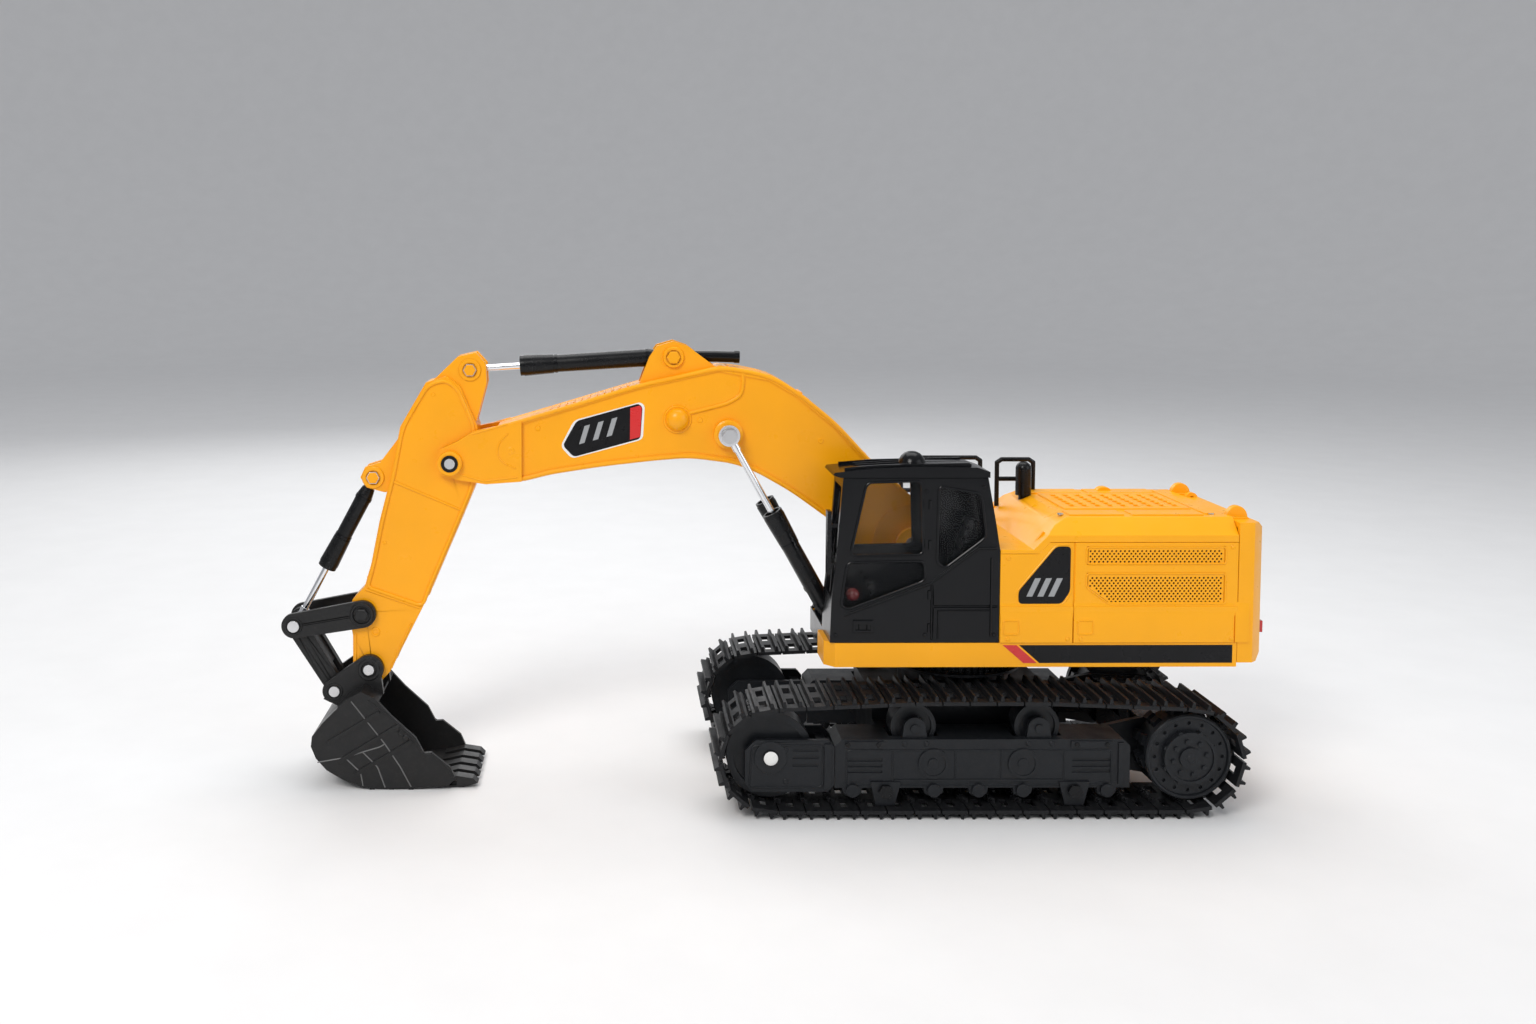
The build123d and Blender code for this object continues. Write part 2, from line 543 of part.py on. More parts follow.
with BuildPart() as cab_shell:
    prism(CAB_SIDE, *CAB_Y)
    prism([(37.9, 101.6), (38.6, 123.5), (41.8, 155), (44.9, 199), (126.6, 199), (131.6, 170), (134, 155),
           (134, 101.6)], CAB_Y[0] + CAB_WALL, CAB_Y[1] - CAB_WALL, mode=Mode.SUBTRACT)
    for window in WINDOWS:
        prism(window, CAB_Y[0] - 1, CAB_Y[0] + CAB_WALL + 1, mode=Mode.SUBTRACT)
    prism(WINDOWS[0], CAB_Y[1] - CAB_WALL - 1, CAB_Y[1] + 1, mode=Mode.SUBTRACT)
    slab(30, 48, CAB_Y[0] + 4.2, CAB_Y[1] - 4.2, 126, 192, mode=Mode.SUBTRACT)
    slab(120, 140, CAB_Y[0] + 6, CAB_Y[1] - 6, 160, 190, mode=Mode.SUBTRACT)
    prism([(44, 115.2), (95, 134.2), (123.6, 155.2), (134, 155.2), (134, 156.6), (123.2, 156.6), (94.4, 135.6),
           (44, 116.6)], CAB_Y[0] - 0.7, CAB_Y[0] + 0.5)
    slab(95.4, 96.6, CAB_Y[0] - 1, CAB_Y[0] + 0.7, 101, 134, mode=Mode.SUBTRACT)
    slab(97, 135, CAB_Y[0] - 1, CAB_Y[0] + 0.7, 120.4, 121.6, mode=Mode.SUBTRACT)
    slab(49, 61, CAB_Y[0] - 1.2, CAB_Y[0] + 1, 105.5, 113)
    slab(50.4, 59.6, CAB_Y[0] - 2, CAB_Y[0] - 0.2, 107, 110.6, mode=Mode.SUBTRACT)
write(cab_shell, "cab_shell")

with BuildPart() as cab_roof:
    prism([(41.0, 198.1), (36.5, 199.6), (37.5, 201.2), (60, 203.4), (84, 204.6), (122, 204.2), (129.5, 201.5),
           (129.5, 198.1)], CAB_Y[0] - 0.4, CAB_Y[1] + 0.4)
    slab(48, 122, CAB_Y[0] + 3.4, CAB_Y[1] - 3.4, 197.4, 200.6, mode=Mode.SUBTRACT)
    slab(92, 120, CAB_Y[0] + 6, CAB_Y[1] - 6, 203.5, 205.4)
    for radius, top in ((8.0, 206.0), (6.6, 208.4), (4.2, 210.2)):
        post(86.4, -41, radius, 203.5, top)
    for y in (CAB_Y[0] + 4, CAB_Y[1] - 4):
        prism([(44, 201.5), (44, 203.6), (64, 205.2), (118, 206.4), (120, 203)], y - 0.7, y + 0.7)
write(cab_roof, "cab_roof")

with BuildPart() as cab_glazing:
    for window in WINDOWS:
        pane = grown(window, 1.6)
        prism(pane, CAB_Y[0] + CAB_WALL, CAB_Y[0] + CAB_WALL + 0.9)
    prism(grown(WINDOWS[0], 1.6), CAB_Y[1] - CAB_WALL - 0.9, CAB_Y[1] - CAB_WALL)
    prism([(39.1, 125), (42.1, 155), (44.9, 193), (45.9, 193), (43.1, 155), (40.1, 125)],
          CAB_Y[0] + 3.4, CAB_Y[1] - 3.4)
write(cab_glazing, "cab_glazing")

with BuildPart() as cab_seat:
    middle = (CAB_Y[0] + CAB_Y[1]) / 2
    prism([(88, 101.6), (118, 101.6), (118, 112), (86, 112)], middle - 6, middle + 6)
    prism([(80, 112), (116, 112), (116, 118), (82, 119)], middle - 8, middle + 8)
    prism([(108, 117), (117, 117), (125, 158), (117, 160)], middle - 8, middle + 8)
    prism([(117, 160), (124, 158), (126, 170), (119, 171)], middle - 5, middle + 5)
write(cab_seat, "cab_seat")

with BuildPart() as cab_controls:
    for y in (middle - 6.5, middle + 6.5):
        prism([(62, 101.6), (74, 101.6), (72, 116), (64, 116)], y - 2.5, y + 2.5)
        rod_along((68, 112), (62, 130), y, 0, 17, 0.9)
        with Locations((62.2, y, 130)):
            Sphere(2.6)
    rod_along((50, 102.0), (50.6, 126), middle - 6, 0, 22, 1.2)
    with Locations((50.4, middle - 6, 126)):
        Sphere(4.2)
write(cab_controls, "cab_controls")

with BuildPart() as cab_mirror:
    slab(33.6, 36.0, CAB_Y[0] + 0.2, CAB_Y[0] + 7.2, 140, 178)
    slab(35.2, 38.3, CAB_Y[0] + 2.4, CAB_Y[0] + 3.8, 145, 147)
    slab(35.2, 40.2, CAB_Y[0] + 2.4, CAB_Y[0] + 3.8, 168, 170)
write(cab_mirror, "cab_mirror")

with BuildPart() as tank_cover:
    prism([(56, 99), (136.2, 99), (136.2, 150), (88, 150), (84, 146), (84, 128), (62, 128), (56, 122)], 26, HALF_W)
    prism([(59, 98), (133.8, 98), (133.8, 147.4), (86.6, 147.4), (86.6, 125.4), (63, 125.4), (59, 121)],
          28.4, HALF_W - 2.4, mode=Mode.SUBTRACT)
    post(110, 41, 6, 149, 152.5)
    slab(66, 80, 30, 52, 127, 128.8)
write(tank_cover, "tank_cover")


def rail(points, y, radius=1.5):
    """Bent tube through points (X, Z) at one Y, with round corners."""
    for a, b in zip(points, points[1:]):
        rod_along(a, b, y, 0, math.dist(a, b), radius)
    for x, z in points[1:-1]:
        with Locations((x, y, z)):
            Sphere(radius)


with BuildPart() as handrails:
    rail([(162, 162.9), (162, 192), (165, 194), (183, 194), (186, 192), (186, 173.1)], 42)
    rail([(162, 181), (186, 181)], 42)
    rail([(100, 150.1), (100, 192), (103, 194), (150, 194), (153, 192), (153, 155.1)], 50)
    rail([(100, 172), (153, 172)], 50)
write(handrails, "handrails")

with BuildPart() as exhaust_stack:
    post(175, 27, 3.0, 160.2, 176)
    post(175, 27, 5.0, 173, 190)
    with Locations((175, 27, 190)):
        Sphere(5.0)
    post(175, 27, 1.9, 182, 198, mode=Mode.SUBTRACT)
write(exhaust_stack, "exhaust_stack")

with BuildPart() as battery_pack:
    for y in (-15, 0, 15):
        with Locations(Location((222, y, 107.2), (0, 90, 0))):
            Cylinder(7.1, 50)
    slab(197, 247, -15, 15, 100.0, 107)
    slab(191, 197, -4, 4, 103, 110)
write(battery_pack, "battery_pack")

with BuildPart() as circuit_board:
    slab(190, 250, 34, 35.6, 101, 133)
    slab(200, 212, 35.6, 38, 106, 118)
    slab(224, 240, 35.6, 37.4, 110, 122)
    slab(196, 204, 28.5, 34, 122, 130)
write(circuit_board, "circuit_board")

with BuildPart() as house_fasteners:
    for side in (-1, 1):
        disc(CYL_FOOT, HINGE_R, *mirrored(side, CYL_Y - 5.5, CYL_Y + 5.4))
    disc(BOOM_FOOT, HINGE_R + 0.5, -17.6, 17.6)
    for y in (-18.4, 17.0):
        disc(BOOM_FOOT, 5.2, y, y + 1.4)
    for x in (176.8, 268):
        for y in (-40, 40):
            post(x, y, 1.8, COVER_TOP, COVER_TOP + 0.7)
write(house_fasteners, "house_fasteners")

# ================================================================ boom
BOOM_TOP = [(-165, 223.2), (-159.2, 224.8), (-137.5, 231.3), (-76.9, 249.7), (-26.8, 260.8), (-12.2, 258.8),
            (4.5, 255.1), (22.2, 244.7), (46.2, 224.9), (68.1, 200.9), (90, 182)]
BOOM_LOW = [(62, 141), (51.3, 157), (42, 164.5), (17, 182.6), (-3.9, 194.6), (-18.5, 200.2), (-45.6, 203.8),
            (-68.2, 202), (-100.7, 198.3), (-133.2, 193.3), (-148.4, 189.1), (-165, 187.8)]
BOOM_END_R = 26.4
FORK_IN, FORK_OUT = 11.35, 15.2


def boom_shell(side):
    """Half of the boom moulding: thin wall, rim beads, pin bosses and one fork cheek."""
    body = BOOM_TOP + [(104, 168), (100, 130), (80, 127)] + BOOM_LOW
    inner = [(-150, 226.6), (-76, 247.2), (-26.5, 258.3), (3.4, 252.8), (20.8, 243), (44.4, 223.4),
             (66.2, 199.4), (86, 180), (92, 150), (70, 140), (44, 165.6), (18.2, 184.6), (-3, 196.8),
             (-18, 202.4), (-45.6, 206), (-100.7, 200.6), (-150, 191)]
    with BuildPart() as shell:
        prism(body, *mirrored(side, 0.05, BOOM_HALF))
        disc(BOOM_FOOT, BOOM_END_R, *mirrored(side, 0.05, BOOM_HALF))
        prism(inner, *mirrored(side, -1, BOOM_HALF - SHELL), mode=Mode.SUBTRACT)
        disc(BOOM_FOOT, BOOM_END_R - 2.4, *mirrored(side, -1, BOOM_HALF - SHELL), mode=Mode.SUBTRACT)
        # fork cheek round the stick pivot
        cheek = [(-150, 226.6), (-179.7, 220.5), (-190, 214), (-200, 209.6), (-203.5, 203), (-201.5, 194.5),
                 (-189.5, 190), (-172.2, 187.4), (-150, 189)]
        prism(cheek, *mirrored(side, FORK_IN, FORK_OUT))
        disc(STICK_PIVOT, 9.4, *mirrored(side, FORK_IN, FORK_OUT))
        prism([(-163, 222), (-150, 227), (-150, 190), (-163, 189)], *mirrored(side, 0.05, FORK_OUT - 1))
        disc(STICK_PIVOT, 29.6, *mirrored(side, -1, FORK_IN), mode=Mode.SUBTRACT)
        slab(-230, -178, *mirrored(side, -1, FORK_IN), 170, 235, mode=Mode.SUBTRACT)
        # pin bosses
        disc(CYL_EYE, 9.0, *mirrored(side, BOOM_HALF - 2.5, 16.2))
        disc(BOOM_FOOT, 8.0, *mirrored(side, 2, BOOM_HALF + 0.5))
        disc(BOOM_FOOT, 24.9, *mirrored(side, BOOM_HALF - 1, BOOM_HALF + 0.7))
        disc(BOOM_FOOT, 23.7, *mirrored(side, BOOM_HALF, BOOM_HALF + 2), mode=Mode.SUBTRACT)
        disc(STICK_PIVOT, 7.0, *mirrored(side, FORK_OUT - 1, FORK_OUT + 0.9))
        # ears for the stick cylinder
        prism([(-78, 247), (-70.8, 266), (-66, 273), (-55.7, 276), (-47, 273), (-26.8, 258)],
              *mirrored(side, 6.3, 9.3))
        disc(STICK_CYL_FOOT, 4.6, *mirrored(side, 9, 10.2))
        # rim beads along both edges
        top = [(-165, 223.2), (-137.5, 231.3), (-76.9, 249.7), (-26.8, 260.8), (4.5, 255.1), (22.2, 244.7),
               (46.2, 224.9), (68.1, 200.9), (86, 185.4)]
        for (ax, az), (bx, bz) in zip(top, top[1:]):
            prism([(ax, az), (bx, bz), (bx - 1.2, bz - 3.4), (ax - 1.2, az - 3.4)],
                  *mirrored(side, BOOM_HALF - 1, BOOM_HALF + 0.8))
        low = BOOM_LOW[2:-1]
        for (ax, az), (bx, bz) in zip(low, low[1:]):
            prism([(ax, az), (bx, bz), (bx + 0.6, bz + 3.0), (ax + 0.6, az + 3.0)],
                  *mirrored(side, BOOM_HALF - 1, BOOM_HALF + 0.8))
        disc((-53.3, 227.6), 8.0, *mirrored(side, BOOM_HALF - 1, BOOM_HALF + 1.0))
        disc(STICK_CYL_FOOT, HINGE_R, *mirrored(side, 5, 12), mode=Mode.SUBTRACT)
        disc(CYL_EYE, HINGE_R, *mirrored(side, 5, 18), mode=Mode.SUBTRACT)
        disc(BOOM_FOOT, HINGE_R + 0.5 + FIT, *mirrored(side, -1, 18), mode=Mode.SUBTRACT)
        disc(STICK_PIVOT, HINGE_R + 0.5, *mirrored(side, 8, 18), mode=Mode.SUBTRACT)
    return shell


boom_left = boom_shell(-1)
write(boom_left, "boom_shell_left")
boom_right = boom_shell(1)
write(boom_right, "boom_shell_right")

with BuildPart() as boom_gearbox:
    slab(8, 44, -9, 9, 200, 222)
    slab(44, 56, -7, 7, 190, 203)
    rod_along((26, 222), (14, 240), 0, 0, 14, 7)
write(boom_gearbox, "boom_gearbox")

with BuildPart() as boom_bolts:
    for side in (-1, 1):
        disc(CYL_EYE, HINGE_R, *mirrored(side, 10.6, 23.6))
        disc(CYL_EYE, 5.2, *mirrored(side, 23.3, 24.3))
        hexagon(CYL_EYE, 4.7, *mirrored(side, 24.3, 27.0))
    for screw in ((-138, 205), (-60, 214), (20, 205)):
        disc(screw, 2.2, BOOM_HALF, BOOM_HALF + 1.0)
    disc(STICK_CYL_FOOT, HINGE_R, -11.2, 11.2)
    for y in (-12.6, 10.2):
        hexagon(STICK_CYL_FOOT, 4.0, y, y + 2.4)
    disc(STICK_PIVOT, HINGE_R + 0.5, -16.1, 16.1)
    for y in (-18.2, 16.1):
        hexagon(STICK_PIVOT, 5.0, y, y + 2.1)
write(boom_bolts, "boom_bolts")

# ================================================================ stick
STICK_OUTER = [(-196.9, 254.2), (-209.6, 250.5), (-225.8, 222.8), (-231.9, 191.5), (-239.1, 163.8),
               (-244.5, 137), (-248.7, 122.5), (-256.5, 114), (-258.5, 104), (-256.5, 91), (-256.6, 70),
               (-252, 61), (-240, 61), (-233.4, 68), (-207.7, 118.8), (-188.4, 163.8), (-178.9, 186.7),
               (-177.6, 222.8), (-188.4, 248.2)]
STICK_INNER = [(-198.6, 251.4), (-208.2, 248.6), (-223.4, 222.2), (-229.6, 191), (-236.8, 163.2),
               (-242.2, 136.4), (-246.4, 120), (-234.5, 78), (-210, 119.8), (-190.6, 164.6), (-181.2, 187.2),
               (-180, 222.2), (-190.4, 246.6)]


def stick_shell(side):
    """Half of the stick moulding with one horn plate and one cylinder ear."""
    with BuildPart() as shell:
        prism(STICK_OUTER, *mirrored(side, 0.05, STICK_HALF))
        prism(STICK_INNER, *mirrored(side, -1, STICK_HALF - SHELL), mode=Mode.SUBTRACT)
        disc(STICK_PIVOT, 7.5, *mirrored(side, 0.05, STICK_HALF))
        prism([(-207, 250), (-190, 266.4), (-178.9, 269), (-172.6, 262), (-172, 250), (-178.4, 226),
               (-190, 226)], *mirrored(side, 3.5, 8.4))
        prism([(-226, 217), (-239, 200), (-248.5, 197), (-251.5, 190.5), (-247.5, 184), (-236, 181),
               (-228, 184)], *mirrored(side, 3.5, 7.6))
        disc(BUCKET_CYL_FOOT, 7.4, *mirrored(side, 3.5, 7.6))
        prism([(-231.4, 190), (-188, 171.2), (-188, 169.8), (-231.8, 188.2)],
              *mirrored(side, STICK_HALF - 0.5, STICK_HALF + 0.5))
        prism([(-247.6, 121.4), (-214, 109.6), (-214.6, 108), (-248.4, 119.8)],
              *mirrored(side, STICK_HALF - 0.5, STICK_HALF + 0.5))
        disc(STICK_CYL_EYE, HINGE_R, *mirrored(side, 2, 9), mode=Mode.SUBTRACT)
        disc(BUCKET_CYL_FOOT, HINGE_R, *mirrored(side, 2, 9), mode=Mode.SUBTRACT)
        disc(STICK_PIVOT, HINGE_R + 0.5 + FIT, *mirrored(side, -1, 13), mode=Mode.SUBTRACT)
        disc(LEVER_PIVOT, HINGE_R, *mirrored(side, -1, 13), mode=Mode.SUBTRACT)
        disc(BUCKET_PIVOT, HINGE_R, *mirrored(side, -1, 13), mode=Mode.SUBTRACT)
    return shell


stick_left = stick_shell(-1)
write(stick_left, "stick_shell_left")
stick_right = stick_shell(1)
write(stick_right, "stick_shell_right")

with BuildPart() as stick_bolts:
    disc(STICK_CYL_EYE, HINGE_R, -9.0, 9.0)
    for y in (-10.6, 8.4):
        hexagon(STICK_CYL_EYE, 4.2, y, y + 2.2)
    disc(BUCKET_CYL_FOOT, HINGE_R, -8.4, 8.4)
    for y in (-9.8, 7.6):
        hexagon(BUCKET_CYL_FOOT, 4.2, y, y + 2.2)
    for pivot in (LEVER_PIVOT, BUCKET_PIVOT):
        disc(pivot, HINGE_R, -15.4, 15.4)
        for y in (-16.6, 15.2):
            disc(pivot, 3.3, y, y + 1.4)
write(stick_bolts, "stick_bolts")

# ================================================================ bucket
BUCKET_SIDE = [(-248.4, 61.4), (-240, 57.4), (-230, 46.4), (-215, 32.7), (-210, 23.1), (-205.4, 23.4),
               (-193.6, 13.9), (-190.5, 6.9), (-195.5, 2.2), (-217, 0.7), (-233, 0.3), (-247, 1.3),
               (-259, 5.8), (-270, 12.4), (-276.5, 19.8), (-279.5, 27.2), (-278.8, 33.4), (-272.5, 41.5),
               (-262.3, 51.8), (-255.9, 57.4)]
BUCKET_INSIDE = [(-244.5, 57.3), (-230, 52), (-180, 40), (-180, 4.6), (-217, 3.3), (-233, 2.9), (-246.6, 3.9),
                 (-257.8, 8.1), (-268.2, 14.4), (-274.2, 21.2), (-276.9, 27.4), (-276.4, 32.3), (-270.6, 39.7),
                 (-260.8, 49.6), (-254.6, 55)]
EAR_IN, EAR_OUT = 11.6, 15.0

with BuildPart() as bucket:
    prism(BUCKET_SIDE, -BUCKET_HALF, BUCKET_HALF)
    prism(BUCKET_INSIDE, -BUCKET_HALF + 2.4, BUCKET_HALF - 2.4, mode=Mode.SUBTRACT)
    for side in (-1, 1):
        strap(BUCKET_PIVOT, LINK_PIVOT, 9.0, 7.6, *mirrored(side, EAR_IN, EAR_OUT))
        prism([(-254.9, 72), (-238.4, 66), (-237, 55), (-246, 55.8), (-254.6, 54), (-264, 47), (-274.6, 52)],
              *mirrored(side, EAR_IN, EAR_OUT))
        for a, b in (((-226, 40), (-262, 18)), ((-218, 30), (-252, 10)), ((-238, 48), (-268, 30))):
            strap(a, b, 1.3, 1.3, *mirrored(side, BUCKET_HALF - 0.5, BUCKET_HALF + 0.8))
        disc(BUCKET_PIVOT, HINGE_R + FIT, *mirrored(side, 10, 17), mode=Mode.SUBTRACT)
        disc(LINK_PIVOT, HINGE_R, *mirrored(side, 10, 17), mode=Mode.SUBTRACT)
    disc(BUCKET_PIVOT, 17.0, -EAR_IN, EAR_IN, mode=Mode.SUBTRACT)
    for x in (-242, -230, -218):
        slab(x - 1.5, x + 1.5, -BUCKET_HALF, BUCKET_HALF, 0.1, 3.4)
write(bucket, "bucket")

with BuildPart() as bucket_teeth:
    for y in (-23.6, -11.8, 0, 11.8, 23.6):
        prism([(-203, 4.7), (-190, 7.6), (-180, 6.0), (-177, 3.0), (-186, 0.6), (-203, 1.0)], y - 3.6, y + 3.6)
        prism([(-204, 1.4), (-180, 2.0), (-180, 5.0), (-204, 4.3)], y - 4, y + 4, mode=Mode.SUBTRACT)
        prism([(-190.2, 7.6), (-180, 6.0), (-177, 3.0), (-186, 0.6), (-190.2, 0.75)], y - 3.6, y + 3.6)
write(bucket_teeth, "bucket_teeth")

with BuildPart() as bucket_bolts:
    disc(LINK_PIVOT, HINGE_R, -15.4, 15.4)
    for y in (-16.4, 15.0):
        disc(LINK_PIVOT, 3.3, y, y + 1.4)
write(bucket_bolts, "bucket_bolts")

with BuildPart() as bucket_levers:
    for side in (-1, 1):
        strap(LEVER_PIVOT, LEVER_TIP, 8.6, 7.8, *mirrored(side, EAR_IN, EAR_OUT - 0.4))
        disc(LEVER_PIVOT, HINGE_R + FIT, *mirrored(side, 10, 17), mode=Mode.SUBTRACT)
        disc(LEVER_TIP, HINGE_R - 0.3, *mirrored(side, 10, 17), mode=Mode.SUBTRACT)
write(bucket_levers, "bucket_levers")

with BuildPart() as lever_pin:
    disc(LEVER_TIP, HINGE_R - 0.3, -15.0, 15.0)
    for y in (-16.2, 14.6):
        disc(LEVER_TIP, 3.6, y, y + 1.6)
write(lever_pin, "lever_pin")

with BuildPart() as bucket_link:
    for side in (-1, 1):
        strap(LEVER_TIP, LINK_PIVOT, 6.4, 5.4, *mirrored(side, 4.6, 10.4))
    prism([(-287.6, 86.5), (-281.8, 89.6), (-271.2, 72.0), (-276.8, 68.8)], -6, 6)
    disc(LINK_PIVOT, HINGE_R + FIT, -12, 12, mode=Mode.SUBTRACT)
    disc(LEVER_TIP, 3.9, -12, 12, mode=Mode.SUBTRACT)
write(bucket_link, "bucket_link")


# ================================================================ cylinders
def barrel(foot, eye, y, gland, tube_r, bore_r):
    """Cylinder tube with foot eye and flared gland, open for the rod."""
    disc(foot, 5.0, y - 3.0, y + 3.0)
    rod_along(foot, eye, y, 3.0, 10.0, 3.4)
    rod_along(foot, eye, y, 9.0, 14.0, tube_r - 1.0, radius_end=tube_r)
    rod_along(foot, eye, y, 14.0, gland, tube_r)
    rod_along(foot, eye, y, gland - 21, gland - 2.5, tube_r + 0.5, radius_end=tube_r + 1.2)
    rod_along(foot, eye, y, gland - 2.5, gland, tube_r + 0.9)
    rod_along(foot, eye, y, 11.5, gland + 1, bore_r, mode=Mode.SUBTRACT)
    disc(foot, HINGE_R + FIT, y - 4, y + 4, mode=Mode.SUBTRACT)


def rod(foot, eye, y, length, radius, eye_r, bore=HINGE_R + FIT):
    """Bright rod with its eye, reaching `length` back towards the foot."""
    disc(eye, eye_r, y - 3.0, y + 3.0)
    rod_along(eye, foot, y, eye_r - 1.5, eye_r + 4, radius + 0.7)
    rod_along(eye, foot, y, eye_r + 3, length, radius)
    disc(eye, bore, y - 4, y + 4, mode=Mode.SUBTRACT)


with BuildPart() as boom_barrels:
    for y in (-CYL_Y, CYL_Y):
        barrel(CYL_FOOT, CYL_EYE, y, 80.0, 5.5, BORE_R)
write(boom_barrels, "boom_barrels")

with BuildPart() as boom_rods:
    for y in (-CYL_Y, CYL_Y):
        rod(CYL_FOOT, CYL_EYE, y, 96.0, ROD_R, 6.6)
write(boom_rods, "boom_rods")

with BuildPart() as stick_barrel:
    barrel(STICK_CYL_FOOT, STICK_CYL_EYE, 0, 96.0, 5.5, BORE_R)
write(stick_barrel, "stick_barrel")

with BuildPart() as stick_rod:
    rod(STICK_CYL_FOOT, STICK_CYL_EYE, 0, 74.0, ROD_R, 5.2)
write(stick_rod, "stick_rod")

with BuildPart() as bucket_barrel:
    barrel(BUCKET_CYL_FOOT, LEVER_TIP, 0, 66.0, 5.0, 4.3)
write(bucket_barrel, "bucket_barrel")

with BuildPart() as bucket_rod:
    rod(BUCKET_CYL_FOOT, LEVER_TIP, 0, 60.0, ROD_R, 5.2, HINGE_R - 0.3 + FIT)
write(bucket_rod, "bucket_rod")
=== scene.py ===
import math

import bmesh
import bpy
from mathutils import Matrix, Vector, geometry


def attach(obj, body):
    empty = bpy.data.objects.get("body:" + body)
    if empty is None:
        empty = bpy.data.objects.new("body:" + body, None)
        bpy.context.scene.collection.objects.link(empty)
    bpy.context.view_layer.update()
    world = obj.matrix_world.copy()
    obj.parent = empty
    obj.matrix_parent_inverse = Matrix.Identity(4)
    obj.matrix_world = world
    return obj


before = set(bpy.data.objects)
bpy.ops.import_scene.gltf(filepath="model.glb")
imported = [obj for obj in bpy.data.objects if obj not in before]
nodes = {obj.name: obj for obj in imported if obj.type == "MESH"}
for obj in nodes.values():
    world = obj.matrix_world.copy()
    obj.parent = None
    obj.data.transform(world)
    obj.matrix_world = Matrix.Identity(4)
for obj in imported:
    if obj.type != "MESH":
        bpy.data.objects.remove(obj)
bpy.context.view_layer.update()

MM = 0.001

# Places shared with the CAD source, in millimetres (X, Z)
CYL_FOOT = (44.0, 101.0)
CYL_EYE = (-21.8, 218.5)
STICK_CYL_FOOT = (-55.7, 266.0)
STICK_PIVOT = (-194.4, 200.5)
STICK_CYL_EYE = (-182.4, 258.0)
BUCKET_CYL_FOOT = (-243.3, 190.5)
LEVER_PIVOT = (-250.0, 105.4)
BUCKET_PIVOT = (-245.9, 70.7)
LEVER_TIP = (-292.7, 98.1)
LINK_PIVOT = (-267.6, 57.0)
IDLER = (-1.0, 34.8)
SPROCKET = (245.0, 34.8)
BOOM_Y, STICK_Y, BUCKET_Y, HOUSE_Y, CAB_Y = 12.5, 11.0, 30.0, 56.0, 56.0


